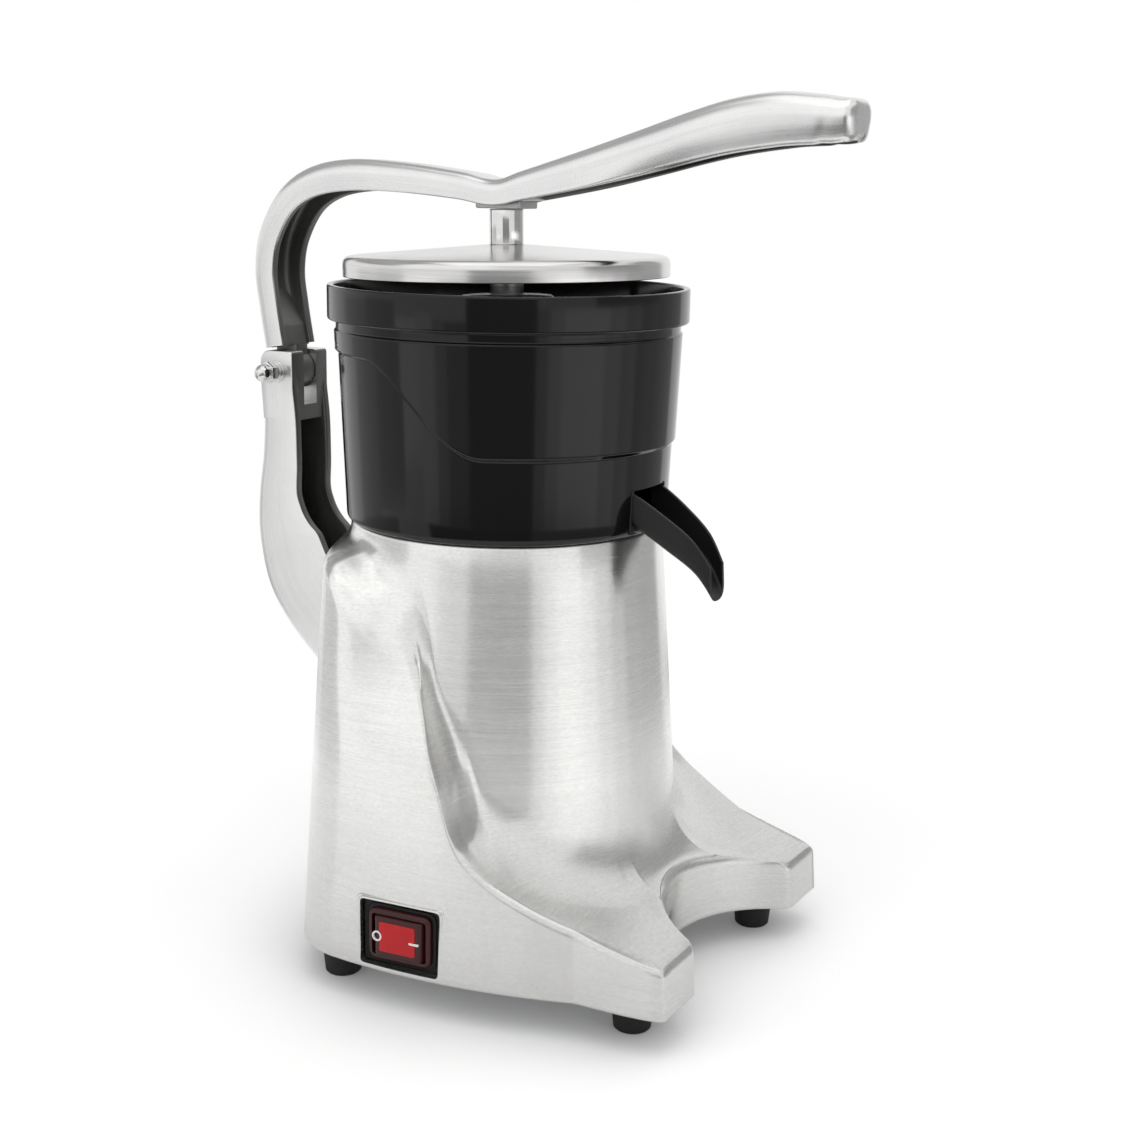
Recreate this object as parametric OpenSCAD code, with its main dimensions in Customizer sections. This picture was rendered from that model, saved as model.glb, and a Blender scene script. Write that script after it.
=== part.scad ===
// Electric citrus juicer with a hand lever: cast housing, black bowl with a spout, pressing lid and cup.
// Front with the spout is towards minus Y, the lever column is behind towards plus Y.
// The drive axis is the working centre; every piece is moved by shift_y to centre the whole on the origin.

/* [Housing] */
// Height of the housing top where the bowl stands
top_z = 222.5; // [205:0.5:245]
// Height of the lower edge of the housing
edge_z = 18; // [15:0.5:21]
// Diameter of the motor tower at its top
tower_d = 158; // [152:1:164]
// Draft of the motor tower in degrees
tower_draft = 4.17; // [3:0.1:5]
// Half width of the housing foot
side_x = 116; // [112:1:122]
// Radius of the bowed side walls in plan
side_bow = 300; // [260:5:400]
// Distance from the drive axis to the rear wall at the foot
rear_y = 91.5; // [90:0.5:98]
// Radius of the rear wall in plan
rear_bow = 160; // [140:5:190]
// Draft of the skirt walls in degrees
wall_draft = 4; // [3:0.1:5]
// Reach of the two toes in front of the drive axis
toe_y = 142.4; // [136:0.2:150]
// Diameter of the round notch for the glass
notch_d = 124; // [112:1:126]
// Distance from the drive axis to the back of the notch
notch_y = 105; // [102:0.5:110]
// Height of the toe tops above the lower edge
toe_h = 23.8; // [20:0.2:28]
// Size of the hollow blend between deck and tower
cove = 20; // [12:1:24]
// Extra size of the hollow blend high on the tower
cove_up = 16; // [8:1:20]
// Rounding of the crest high on the tower
crest_round = 22; // [12:1:26]
// Casting wall of the motor tower
cast_t = 7; // [5:0.5:8]

/* [Feet and base plate] */
// Upper diameter of a rubber foot
foot_d = 22; // [18:0.5:24]
// Taper of a rubber foot on the radius
foot_taper = 2; // [1:0.25:3]
// Thickness of the base plate
plate_t = 2; // [1.5:0.25:2.5]
// Number of air slots in the base plate
air_slots = 7; // [3:2:9]

/* [Bowl] */
// Outer diameter of the bowl rim
rim_d = 180; // [174:1:186]
// Height of the bowl
bowl_h = 116.6; // [110:0.2:122]
// Outer diameter of the bowl at its bottom
bowl_d = 162.5; // [156:0.5:166]
// Wall of the bowl
bowl_t = 2.6; // [2:0.1:3.4]
// Height of the thick rim band
rim_h = 17; // [12:0.5:22]
// Step of the raised upper wall
band_t = 1.6; // [1:0.1:2.2]
// Height of the front ridge above the bowl bottom
ridge_h = 41.5; // [36:0.5:48]
// Half width of the spout at its root
spout_w = 16; // [13:0.5:18]

/* [Reamer and strainer] */
// Diameter of the reamer at its base
reamer_d = 68; // [60:1:72]
// Height of the reamer
reamer_h = 56; // [48:1:60]
// Number of reamer ribs
ribs = 10; // [6:1:12]
// Height of the strainer wall
strainer_h = 9; // [6:0.5:14]
// Number of strainer slots
slots = 24; // [12:2:28]

/* [Column and lever] */
// Distance from the drive axis to the lever pivot
pivot_y = 137.2; // [132:0.2:144]
// Height of the lever pivot above the housing top
pivot_h = 65.5; // [62:0.5:70]
// Width of the column casting
column_w = 30; // [28:0.5:34]
// Radius of the ears round the pivot
ear_r = 11; // [10:0.1:12]
// Rounding of the upper rear corner of the ears
ear_round = 6.5; // [5:0.1:9]
// Width of the slot between the ears
slot_w = 10.6; // [9:0.1:12]
// Width of the lever casting
lever_w = 28; // [26:0.5:32]
// Web of the channel castings
web_t = 5; // [4:0.25:6]
// Side wall of the channel castings
side_t = 4.5; // [3.5:0.25:5.5]
// Diameter of the pivot bolt
pivot_d = 6; // [5:0.5:7]

/* [Press] */
// Diameter of the press rod
rod_d = 17; // [15:0.5:18]
// Length of the press rod between lid and lever
rod_l = 17.4; // [15:0.1:22]
// Diameter of the splash lid
lid_d = 162; // [152:1:164]
// Height of the turned-down lid edge
lid_h = 10; // [8:0.5:12]
// Rise of the lid from its edge to the rod
lid_rise = 5.3; // [3:0.1:7]
// Clear height between bowl rim and lid edge
lid_gap = 4.4; // [3:0.2:7]
// Forward lift of the press group in degrees
press_tilt = 1; // [0:0.1:1.2]
// Outer diameter of the press cup
cup_d = 92; // [88:1:100]

/* [Motor] */
// Diameter of the stator core
stator_d = 120; // [112:1:124]
// Length of the stator core
stator_h = 52; // [44:1:56]
// Diameter of the drive shaft
shaft_d = 10; // [8:0.5:12]
// Number of fan blades
blades = 9; // [5:1:12]

/* [Switch] */
// Width of the switch recess
pad_w = 43; // [41:0.5:46]
// Height of the switch recess
pad_h = 32.5; // [31:0.5:34]
// Height of the recess centre above the lower edge
pad_z = 19; // [18.5:0.25:21]
// Turn of the recess about the vertical in degrees
pad_yaw = 5.6; // [3:0.2:7]

/* [Hidden] */
$fn = 56;
e = 0.01;
run = 0.05;
rim_z = top_z + bowl_h;
press_y = 2;
lid_z = rim_z + lid_gap;
lid_top = lid_z + lid_h + lid_rise;
pivot_z = top_z + pivot_h;
seat_t = 3.8;
seat_z = lid_top + rod_l + seat_t;
reach = pivot_y / 137.2;
rise = (seat_z - pivot_z) / 92;
lever_tip = -181.6 * reach;
lever_back = 154.1 * reach;
shift_y = -(lever_tip + lever_back) / 2;
roof_z = top_z - 8;
plate_z = edge_z + 2;
skin_z = plate_z + plate_t;
plate_in = 8.2;
pad_x = -112;
pad_y = -12;
boss_y = max(rear_y - 3, tower_r(top_z - 115) + 1.3);
column_bolt_z = [top_z - 92, top_z - 56];
ear_reach = (ear_r - ear_round) * sqrt(2) + ear_round + 0.45;
gland_x = 46;
cup_neck = 26;
foot_places = [[68.9, -115], [93, 37]];
notch_r = notch_d / 2;
notch_c = notch_y + notch_r;
toe_z = edge_z + toe_h;
crest_max = top_z - 6;

// Catmull-Rom curve through the knots
function curve_point(a, b, c, d, t) =
    0.5 * (2 * b + (c - a) * t + (2 * a - 5 * b + 4 * c - d) * t * t
    + (3 * b - a - 3 * c + d) * t * t * t);
function curve(k, n) = concat(
    [for (i = [0 : len(k) - 2], j = [0 : n - 1])
        curve_point(k[max(i - 1, 0)], k[i], k[i + 1], k[min(i + 2, len(k) - 1)], j / n)],
    [k[len(k) - 1]]);
function blend(a, b, c, t) = (1 - t) * (1 - t) * a + 2 * t * (1 - t) * b + t * t * c;
function quad(a, b, c, d) = [[a, b, c], [a, c, d]];
function clamp01(t) = min(max(t, 0), 1);
function ease(t) = clamp01(t) * clamp01(t) * (3 - 2 * clamp01(t));
function soft_min(a, b, k) = min(a, b) - pow(max(k - abs(a - b), 0), 2) / (4 * k);

// Plan of the skirt: distance from the drive axis by bearing, zero at the front
function ray_circle(b, cx, cy, r) =
    let (q = -sin(b) * cx - cos(b) * cy)
    q + sqrt(q * q - cx * cx - cy * cy + r * r);
function side_r(b) = ray_circle(b, side_bow - side_x, 10, side_bow);
function rear_r(b) = ray_circle(b, 0, rear_y - rear_bow, rear_bow);
function plan_r(b) = soft_min(side_r(b), rear_r(b), 12);
function toe_bearing(b, n) = n == 0 ? b : toe_bearing(acos(min(toe_y / side_r(b), 1)), n - 1);
toe_b = toe_bearing(28, 12);
notch_a = acos((notch_c - toe_y) / notch_r);

// Crest line of the skirt seen from the side: distance along Y and height
crest_knots = [
    [-160, toe_z - 3.5], [-138.5, toe_z], [-107.4, toe_z + 6.1], [-85, toe_z + 12.8],
    [-61.5, toe_z + 22.5], [-49, toe_z + 29.7], [-41.2, toe_z + 37.4], [-35.6, toe_z + 47.2],
    [-31.6, toe_z + 61.2], [-27.1, toe_z + 79.9], [-14.6, top_z - 64.5], [-8, top_z - 46.5],
    [0, top_z - 38], [20, top_z - 26], [36, top_z - 11], [50, top_z - 6], [120, top_z - 6]];
crest = curve(crest_knots, 4);
function crest_z(y) = min(lookup(y, crest), crest_max);
function tower_r(z) = tower_d / 2 + (top_z - z) * tan(tower_draft);
function skirt_r(r, z) = max(r - (z - edge_z) * tan(wall_draft), tower_r(z) + 1.2);
function crest_on(p, r, z, n) = n == 0 ? z :
    crest_on(p, r, crest_z(p[1] / r * skirt_r(r, z)), n - 1);

// Half plan from the notch over the left toe and side to the rear
side_steps = [for (i = [1 : 44])
    toe_b + (180 - toe_b) * (i < 34 ? i * 0.0192 : 0.6336 + (i - 33) * 0.03331)];
half_plan = concat(
    [for (i = [0 : 8]) let (a = notch_a * i / 8) [-notch_r * sin(a), -notch_c + notch_r * cos(a)]],
    [[-notch_r * sin(notch_a) - 5, -toe_y]],
    [[-side_r(toe_b) * sin(toe_b) + 4, -toe_y]],
    [for (b = side_steps) [-plan_r(b) * sin(b), -plan_r(b) * cos(b)]]);
plan = concat(half_plan, [for (i = [len(half_plan) - 2 : -1 : 1]) [-half_plan[i][0], half_plan[i][1]]]);

// One rising profile of the housing above a plan point
function profile(p) =
    let (
        r = norm(p),
        ze = crest_on(p, r, toe_z, 6),
        re = skirt_r(r, ze),
        rt = tower_r(ze),
        gap = re - rt,
        round = min(2.6 + crest_round * ease((ze - 130) / 70), 0.55 * gap),
        hollow = cove + cove_up * ease((ze - 70) / 70),
        share = ease((ze - 110) / 70),
        ra = re - round,
        za = min(max(crest_z(p[1] / r * ra), ze), crest_max),
        rb = rt + min(hollow, 0.98 * (gap - round)),
        zb = min(max(crest_z(p[1] / r * rb), za), crest_max),
        zt = min(max(crest_z(p[1] / r * rt), zb), crest_max),
        room = top_z - 2.5 - zt,
        up = (1 - share) * min(1.1 * hollow, 0.8 * room) + share * 0.96 * room,
        foot = [skirt_r(r, ze - round), ze - round],
        from = [rb, zb],
        to = [tower_r(zt + up), zt + up],
        pull = (1 - 0.65 * share) * [rt, zt] + 0.325 * share * (from + to))
    concat(
        [[r - 1.5, edge_z], [r, edge_z + 1.5]],
        [for (j = [0 : 4]) blend(foot, [re, ze], [ra, za], j / 4)],
        [[(ra + rb) / 2, (za + zb) / 2]],
        [for (j = [0 : 6]) blend(from, pull, to, j / 6)],
        [[tower_r(top_z - 1.5), top_z - 1.5], [tower_r(top_z) - 1.5, top_z]]);

module housing_skin() {
    rows = [for (p = plan) profile(p)];
    m = len(rows[0]);
    n = len(plan);
    points = concat(
        [for (j = [0 : n - 1], i = [0 : m - 1])
            let (q = plan[j] / norm(plan[j]) * rows[j][i][0]) [q[0], q[1], rows[j][i][1]]],
        [[0, 0, edge_z], [0, 0, top_z]]);
    faces = concat(
        [for (j = [0 : n - 1], i = [0 : m - 2])
            each quad(j * m + i, ((j + 1) % n) * m + i, ((j + 1) % n) * m + i + 1, j * m + i + 1)],
        [for (j = [0 : n - 1]) [n * m, ((j + 1) % n) * m, j * m]],
        [for (j = [0 : n - 1]) [n * m + 1, j * m + m - 1, ((j + 1) % n) * m + m - 1]]);
    polyhedron(points, faces, convexity = 6);
}

// Channel casting swept along a curve; each knot holds Y, Z, depth and half width
function channel_line(w, d, b, r, n) = concat(
    [[-w, d]],
    [for (j = [0 : n]) [-w + r - r * cos(j * 90 / n), b + r - r * sin(j * 90 / n)]],
    [for (j = [0 : n]) [w - r + r * sin(j * 90 / n), b + r - r * cos(j * 90 / n)]],
    [[w, d]]);
function along(s, i) =
    let (v = s[min(i + 1, len(s) - 1)] - s[max(i - 1, 0)], u = [v[0], v[1]])
    u / norm(u);

module channel(knots, steps, web, wall, r, up = undef) {
    s = curve(knots, steps);
    c = 10;
    ri = r * 0.5;
    points = [for (i = [0 : len(s) - 1])
        let (
            t = along(s, i),
            d = is_undef(up) ? [-t[1], t[0]] : up,
            inner = min(web, s[i][2] - ri - 0.6))
        each [for (q = concat(
            channel_line(s[i][3], s[i][2], 0, r, 3),
            channel_line(s[i][3] - wall, s[i][2], inner, ri, 3)))
            [q[0], s[i][0] + d[0] * q[1], s[i][1] + d[1] * q[1]]]];
    last = (len(s) - 1) * 2 * c;
    faces = concat(
        [for (i = [0 : len(s) - 2], k = [0 : c - 2]) let (a = i * 2 * c + k, b = a + 2 * c)
            each concat(quad(a, a + 1, b + 1, b), quad(a + c, b + c, b + c + 1, a + c + 1))],
        [for (i = [0 : len(s) - 2]) let (a = i * 2 * c, b = a + 2 * c)
            each concat(quad(a, b, b + c, a + c),
                quad(a + 2 * c - 1, b + 2 * c - 1, b + c - 1, a + c - 1))],
        [for (k = [0 : c - 2]) each quad(k, k + c, k + c + 1, k + 1)],
        [for (k = [0 : c - 2]) each quad(last + k, last + k + 1, last + k + c + 1, last + k + c)]);
    polyhedron(points, faces, convexity = 8);
}

module tube(ro, ri, h) {
    difference() {
        cylinder(r = ro, h = h);
        translate([0, 0, -1]) cylinder(r = ri, h = h + 2);
    }
}

module across(x, y, z) {
    translate([x, y, z]) rotate([0, 90, 0]) children();
}

module mirrored() {
    children();
    mirror([1, 0, 0]) children();
}

module at_pad() {
    translate([pad_x, pad_y, edge_z + pad_z]) rotate([0, 0, pad_yaw]) rotate([90, 0, -90]) children();
}

module block(x, y, z0, z1) {
    translate([-x / 2, -y / 2, z0]) cube([x, y, z1 - z0]);
}

// Places of the screws that hold the base plate
module plate_screw_places() {
    for (b = [62, 128]) mirrored()
        translate([-(plan_r(b) - 14) * sin(b), -(plan_r(b) - 14) * cos(b), 0]) children();
}

module foot_screw_places() {
    for (p = foot_places) mirrored() translate([p[0], p[1], 0]) children();
}

module plate_shape(inset) {
    polygon([for (p = plan) p * (norm(p) - inset) / norm(p)]);
}

// Room under the deck and inside the side walls, with posts left for the screws and the switch
module skirt_room() {
    difference() {
        union() {
            translate([0, 0, skin_z - 1]) linear_extrude(toe_z - 4 - skin_z) plate_shape(plate_in + 0.8);
            translate([0, 0, skin_z - 1]) linear_extrude(0.36 * top_z, scale = 0.94) intersection() {
                plate_shape(plate_in + 1.8);
                translate([-150, -18]) square([300, 200]);
            }
        }
        foot_screw_places() translate([0, 0, edge_z]) cylinder(r = 6.5, h = top_z);
        plate_screw_places() translate([0, 0, edge_z]) cylinder(r = 5, h = top_z);
        at_pad() block(pad_w + 12, 2 * pad_h, -14, 20);
        translate([gland_x, rear_y, edge_z + 26]) rotate([90, 0, 0]) cylinder(r = 13, h = 30);
    }
}

module housing() {
    color([0.76, 0.76, 0.75]) difference() {
        union() {
            housing_skin();
            translate([-column_w / 2 - 1, 60, top_z - 113]) cube([column_w + 2, boss_y - 60, 76]);
            translate([gland_x, rear_y - 4, edge_z + 26]) rotate([90, 0, 0]) cylinder(r = 13, h = 30);
            at_pad() block(pad_w + 5, pad_h + 3.4, -12, 0.6);
        }
        translate([0, 0, edge_z - 1]) linear_extrude(skin_z - edge_z + 1) plate_shape(plate_in - 0.4);
        translate([0, 0, edge_z]) cylinder(
            r1 = tower_r(edge_z) - cast_t, r2 = tower_r(roof_z) - cast_t, h = roof_z - edge_z);
        skirt_room();
        translate([0, 0, roof_z - 1]) cylinder(r = 22.3, h = 20);
        for (a = [45 : 90 : 315]) rotate(a) translate([40, 0, roof_z - 1]) {
            cylinder(r = 2.6, h = 20);
            translate([0, 0, 5.8]) cylinder(r = 5, h = 20);
        }
        at_pad() block(pad_w, pad_h, -4, 10);
        at_pad() block(34, 24, -34, 0);
        for (z = column_bolt_z) translate([0, 60, z]) rotate([-90, 0, 0]) cylinder(r = 3.1, h = 40);
        translate([gland_x, rear_y + 10, edge_z + 26]) rotate([90, 0, 0]) cylinder(r = 8.1, h = 60);
        foot_screw_places() translate([0, 0, edge_z]) cylinder(r = 2.05, h = 17);
        plate_screw_places() translate([0, 0, edge_z]) cylinder(r = 1.55, h = 13);
    }
}

module base_plate() {
    color([0.6, 0.61, 0.62]) difference() {
        translate([0, 0, plate_z]) linear_extrude(plate_t) plate_shape(plate_in);
        for (i = [0 : air_slots - 1]) translate([0, (i - (air_slots - 1) / 2) * 11 - 8, plate_z - 1])
            translate([-32, -2.5, 0]) cube([64, 5, 10]);
        foot_screw_places() translate([0, 0, plate_z - 1]) cylinder(r = 2.2, h = 10);
        plate_screw_places() translate([0, 0, plate_z - 1]) cylinder(r = 1.7, h = 10);
        for (y = [27.5, 72.5]) translate([0, y, plate_z - 1]) cylinder(r = 1.7, h = 10);
    }
}

module base_plate_screws() {
    color([0.7, 0.7, 0.72]) plate_screw_places() translate([0, 0, plate_z]) {
        difference() {
            translate([0, 0, -1.8]) cylinder(r = 3, h = 1.8);
            translate([-3, -0.5, -2.2]) cube([6, 1, 1]);
        }
        translate([0, 0, -e]) cylinder(r = 1.5, h = 9);
    }
}

module one_foot(x, y) {
    color([0.05, 0.05, 0.05]) translate([x, y, 0]) difference() {
        union() {
            translate([0, 0, 1]) cylinder(r1 = foot_d / 2 - foot_taper, r2 = foot_d / 2, h = plate_z - 1);
            cylinder(r1 = foot_d / 2 - foot_taper - 1, r2 = foot_d / 2 - foot_taper, h = 1 + e);
        }
        translate([0, 0, -1]) cylinder(r = 2.2, h = 40);
        translate([0, 0, -1]) cylinder(r = 4.8, h = 10);
    }
}

module foot_front_left() {
    one_foot(-foot_places[0][0], foot_places[0][1]);
}

module foot_front_right() {
    one_foot(foot_places[0][0], foot_places[0][1]);
}

module foot_rear_left() {
    one_foot(-foot_places[1][0], foot_places[1][1]);
}

module foot_rear_right() {
    one_foot(foot_places[1][0], foot_places[1][1]);
}

module foot_screws() {
    color([0.7, 0.7, 0.72]) foot_screw_places() translate([0, 0, 6]) {
        difference() {
            cylinder(r = 4, h = 3);
            translate([0, 0, -e]) cylinder(r = 1.8, h = 1.6, $fn = 6);
        }
        translate([0, 0, 2.9]) cylinder(r = 2, h = edge_z + 6);
    }
}

// Column casting from its foot on the housing up the rear edge to the ears
column_knots = [
    [boss_y - 6, top_z - 115, 54, column_w / 2], [boss_y + 24, top_z - 92.5, 52, column_w / 2],
    [pivot_y - 4, top_z - 72.5, 49, column_w / 2], [pivot_y + 9.6, top_z - 51.5, 47, column_w / 2],
    [pivot_y + 15.6, top_z - 25, 42, column_w / 2], [pivot_y + 15.2, top_z - 2, 29.5, column_w / 2],
    [pivot_y + 12, top_z + 19, 25.5, column_w / 2], [pivot_y + ear_r - 0.4, top_z + 38, 23.6, column_w / 2],
    [pivot_y + ear_r, pivot_z - 12, 22.4, column_w / 2], [pivot_y + ear_r, pivot_z, 21.6, column_w / 2]];

// Side view of the two ears, round at the upper rear where the lever swings over them
ear_shape = concat(
    [[pivot_y - ear_r, pivot_z - 26], [pivot_y + ear_r - 1.5, pivot_z - 26], [pivot_y + ear_r, pivot_z - 6]],
    [for (j = [0 : 6]) [pivot_y + ear_r - ear_round * (1 - cos(j * 15)),
        pivot_z + ear_r - ear_round * (1 - sin(j * 15))]],
    [[pivot_y - ear_r + 2, pivot_z + ear_r], [pivot_y - ear_r + 0.6, pivot_z + ear_r - 0.6]],
    [[pivot_y - ear_r, pivot_z + ear_r - 2]]);

module side_prism(shape, width) {
    translate([-width / 2, 0, 0]) rotate([90, 0, 90]) linear_extrude(width) polygon(shape);
}

module lever_column() {
    color([0.77, 0.77, 0.76]) difference() {
        union() {
            channel(column_knots, 4, web_t, side_t, 4.5);
            side_prism(ear_shape, column_w);
            translate([-column_w / 2 + 1, boss_y, top_z - 109]) cube([column_w - 2, 11, 68]);
        }
        translate([-slot_w / 2, pivot_y - 40, pivot_z - 18]) cube([slot_w, 80, 60]);
        translate([-50, boss_y - 100, 0]) cube([100, 100, top_z]);
        across(-50, pivot_y, pivot_z) cylinder(r = pivot_d / 2 + 0.1, h = 100);
        for (z = column_bolt_z) translate([0, boss_y - 1, z]) rotate([-90, 0, 0]) cylinder(r = 3.02, h = 40);
    }
}

module column_bolts() {
    color([0.7, 0.7, 0.72]) for (z = column_bolt_z) {
        inner = tower_r(z) - cast_t;
        translate([0, inner - 6.5, z]) rotate([-90, 0, 0]) {
            cylinder(r = 5.77, h = 4, $fn = 6);
            translate([0, 0, 3.9]) cylinder(r = 3, h = boss_y + 10 - inner + 2);
        }
        translate([0, inner - 2.5, z]) rotate([-90, 0, 0]) tube(6, 3.05, 1.6);
    }
}

module pivot_bolt() {
    color([0.75, 0.75, 0.77]) {
        across(-column_w / 2 - 12, pivot_y, pivot_z) cylinder(r = pivot_d / 2, h = column_w + 14);
        across(column_w / 2 + 1.6, pivot_y, pivot_z) cylinder(r = pivot_d * 0.95, h = 4, $fn = 6);
    }
}

module pivot_washers() {
    color([0.72, 0.72, 0.74]) {
        across(column_w / 2, pivot_y, pivot_z) tube(pivot_d, pivot_d / 2 + 0.1, 1.6);
        across(-column_w / 2 - 1.6, pivot_y, pivot_z) tube(pivot_d, pivot_d / 2 + 0.1, 1.6);
        across(-column_w / 2 - 3.6, pivot_y, pivot_z) tube(pivot_d * 0.9, pivot_d / 2 + 0.1, 2);
    }
}

module acorn_nut() {
    nut_r = pivot_d * 0.95;
    nut_x = -column_w / 2 - 3.6;
    color([0.8, 0.8, 0.82]) translate([nut_x, pivot_y, pivot_z]) rotate([0, -90, 0]) difference() {
        union() {
            cylinder(r = nut_r, h = 5, $fn = 6);
            translate([0, 0, 5 - e]) cylinder(r = nut_r * 0.82, h = 2);
            translate([0, 0, 7 - e]) rotate_extrude() intersection() {
                circle(r = nut_r * 0.82);
                square(nut_r);
            }
        }
        translate([0, 0, -1]) cylinder(r = pivot_d / 2 + 0.02, h = 9.5);
    }
}

// Motor pieces hang from the roof of the tower
stator_z = roof_z - 42.5 - stator_h;
bearing_z = stator_z - 40;

module motor_top_bracket() {
    color([0.7, 0.71, 0.72]) difference() {
        union() {
            translate([0, 0, roof_z - 8]) cylinder(r = stator_d / 2 + 4, h = 8);
            translate([0, 0, roof_z - 1]) cylinder(r = 22, h = 9);
            translate([0, 0, stator_z + stator_h])
                tube(stator_d / 2, stator_d / 2 - 6, roof_z - 7 - stator_z - stator_h);
        }
        translate([0, 0, roof_z - 9]) cylinder(r = 14, h = 9);
        translate([0, 0, roof_z - 2]) cylinder(r = shaft_d / 2 + 2, h = 20);
        translate([0, 0, top_z - 6]) cylinder(r = 11, h = 10);
        tie_places() translate([0, 0, stator_z]) cylinder(r = 2.05, h = roof_z - 2.5 - stator_z);
        for (a = [45 : 90 : 315]) rotate(a) translate([40, 0, roof_z - 9]) cylinder(r = 2.05, h = 20);
    }
}

module tie_places() {
    for (a = [0 : 90 : 270]) rotate(a) translate([stator_d / 2 - 3, 0, 0]) children();
}

module bracket_screws() {
    color([0.7, 0.7, 0.72]) for (a = [45 : 90 : 315]) rotate(a) translate([40, 0, 0]) {
        translate([0, 0, roof_z - 7]) cylinder(r = 2, h = 13);
        translate([0, 0, roof_z + 4.8]) difference() {
            cylinder(r = 4.6, h = 3);
            translate([0, 0, 1.5]) cylinder(r = 1.9, h = 3, $fn = 6);
        }
    }
}

module stator_core() {
    color([0.35, 0.36, 0.38]) difference() {
        translate([0, 0, stator_z]) cylinder(r = stator_d / 2, h = stator_h);
        translate([0, 0, stator_z - 1]) cylinder(r = 31, h = stator_h + 2);
        tie_places() translate([0, 0, stator_z - 1]) cylinder(r = 2.1, h = stator_h + 2);
    }
}

module windings() {
    color([0.7, 0.38, 0.18]) for (z = [stator_z - 15, stator_z + stator_h]) {
        low = z < stator_z ? -1 : 8;
        translate([0, 0, z]) difference() {
            cylinder(r = stator_d / 2 - 8, h = 15);
            translate([0, 0, -1]) cylinder(r = 33, h = 17);
            for (a = [0 : 30 : 330]) rotate(a) translate([stator_d / 2 - 13, -1.5, low]) cube([20, 3, 8]);
        }
    }
}

module motor_bottom_bracket() {
    color([0.7, 0.71, 0.72]) difference() {
        union() {
            translate([0, 0, bearing_z]) cylinder(r = stator_d / 2, h = 8);
            translate([0, 0, bearing_z + 7]) tube(stator_d / 2, stator_d / 2 - 6, stator_z - bearing_z - 7);
        }
        translate([0, 0, bearing_z + 1.5]) cylinder(r = 12, h = 8);
        translate([0, 0, bearing_z - 1]) cylinder(r = shaft_d / 2 + 2, h = 10);
        tie_places() translate([0, 0, bearing_z - 1]) cylinder(r = 2.1, h = 60);
        for (a = [45 : 90 : 315]) rotate(a) translate([36, 0, bearing_z - 1]) cylinder(r = 9, h = 10);
    }
}

module tie_bolts() {
    color([0.68, 0.68, 0.7]) tie_places() {
        translate([0, 0, bearing_z - 3]) cylinder(r = 4, h = 3, $fn = 6);
        translate([0, 0, bearing_z - e]) cylinder(r = 2, h = roof_z - 4 - bearing_z);
    }
}

module upper_bearing() {
    color([0.75, 0.76, 0.78]) translate([0, 0, roof_z - 8]) difference() {
        tube(14, shaft_d / 2 + run, 8);
        for (z = [-1, 7.4]) translate([0, 0, z]) tube(12, 8.5, 1.6);
    }
}

module lower_bearing() {
    color([0.75, 0.76, 0.78]) translate([0, 0, bearing_z + 1.5]) difference() {
        tube(12, shaft_d / 2 + run, 6.5);
        for (z = [-1, 5.9]) translate([0, 0, z]) tube(10.4, 7.6, 1.6);
    }
}

module shaft_seal() {
    color([0.08, 0.08, 0.08]) translate([0, 0, top_z - 6]) difference() {
        tube(11, shaft_d / 2 + run, 5.5);
        translate([0, 0, 4]) tube(9.5, 7, 3);
    }
}

module drive_shaft() {
    color([0.78, 0.78, 0.8]) {
        translate([0, 0, bearing_z - 24]) cylinder(r = shaft_d / 2, h = top_z + 40 - bearing_z + 24);
        translate([0, 0, top_z + 40 - e]) intersection() {
            cylinder(r = shaft_d / 2, h = 34);
            translate([-shaft_d / 2, -shaft_d * 0.36, 0]) cube([shaft_d, shaft_d * 0.72, 40]);
        }
    }
}

module rotor() {
    color([0.5, 0.51, 0.53]) translate([0, 0, stator_z - 2]) difference() {
        union() {
            cylinder(r = 30.6, h = stator_h + 4);
            translate([0, 0, -6]) tube(26, 20, 7);
            translate([0, 0, stator_h + 3]) tube(26, 20, 7);
        }
        translate([0, 0, -9]) cylinder(r = shaft_d / 2 + 0.01, h = stator_h + 30);
    }
}

module cooling_fan() {
    color([0.12, 0.12, 0.13]) translate([0, 0, bearing_z - 20]) difference() {
        union() {
            cylinder(r = 13, h = 13);
            translate([0, 0, 11]) cylinder(r = 46, h = 2);
            for (i = [0 : blades - 1]) rotate(i * 360 / blades) translate([11, -1, 0]) cube([34, 2, 12]);
        }
        translate([0, 0, -1]) cylinder(r = shaft_d / 2 + 0.01, h = 20);
    }
}

module capacitor() {
    color([0.82, 0.82, 0.78]) across(-32, 50, skin_z + 16) {
        cylinder(r = 16, h = 58);
        translate([0, 0, 57]) cylinder(r = 12, h = 4);
        for (s = [-5, 5]) translate([-0.5, s - 3, 60]) cube([1, 6, 8]);
    }
}

module capacitor_strap() {
    color([0.65, 0.66, 0.68]) difference() {
        union() {
            across(-8, 50, skin_z + 16) cylinder(r = 17.2, h = 16);
            translate([-8, 32.8, skin_z]) cube([16, 34.4, 16]);
            translate([-8, 22, skin_z]) cube([16, 56, 1.2]);
        }
        across(-40, 50, skin_z + 16) cylinder(r = 16.05, h = 80);
        translate([-40, 34, skin_z - 9]) cube([80, 32, 25]);
        translate([-40, 0, skin_z - 9]) cube([80, 100, 9]);
        for (y = [27.5, 72.5]) translate([0, y, skin_z - 1]) cylinder(r = 1.7, h = 4);
    }
}

// Bowl walls: lower cone, upper cone and the thick rim
function bowl_r(z) = bowl_d / 2 + (z - top_z) * (rim_d / 2 - 4.6 - bowl_d / 2) / (bowl_h - rim_h);

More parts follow.
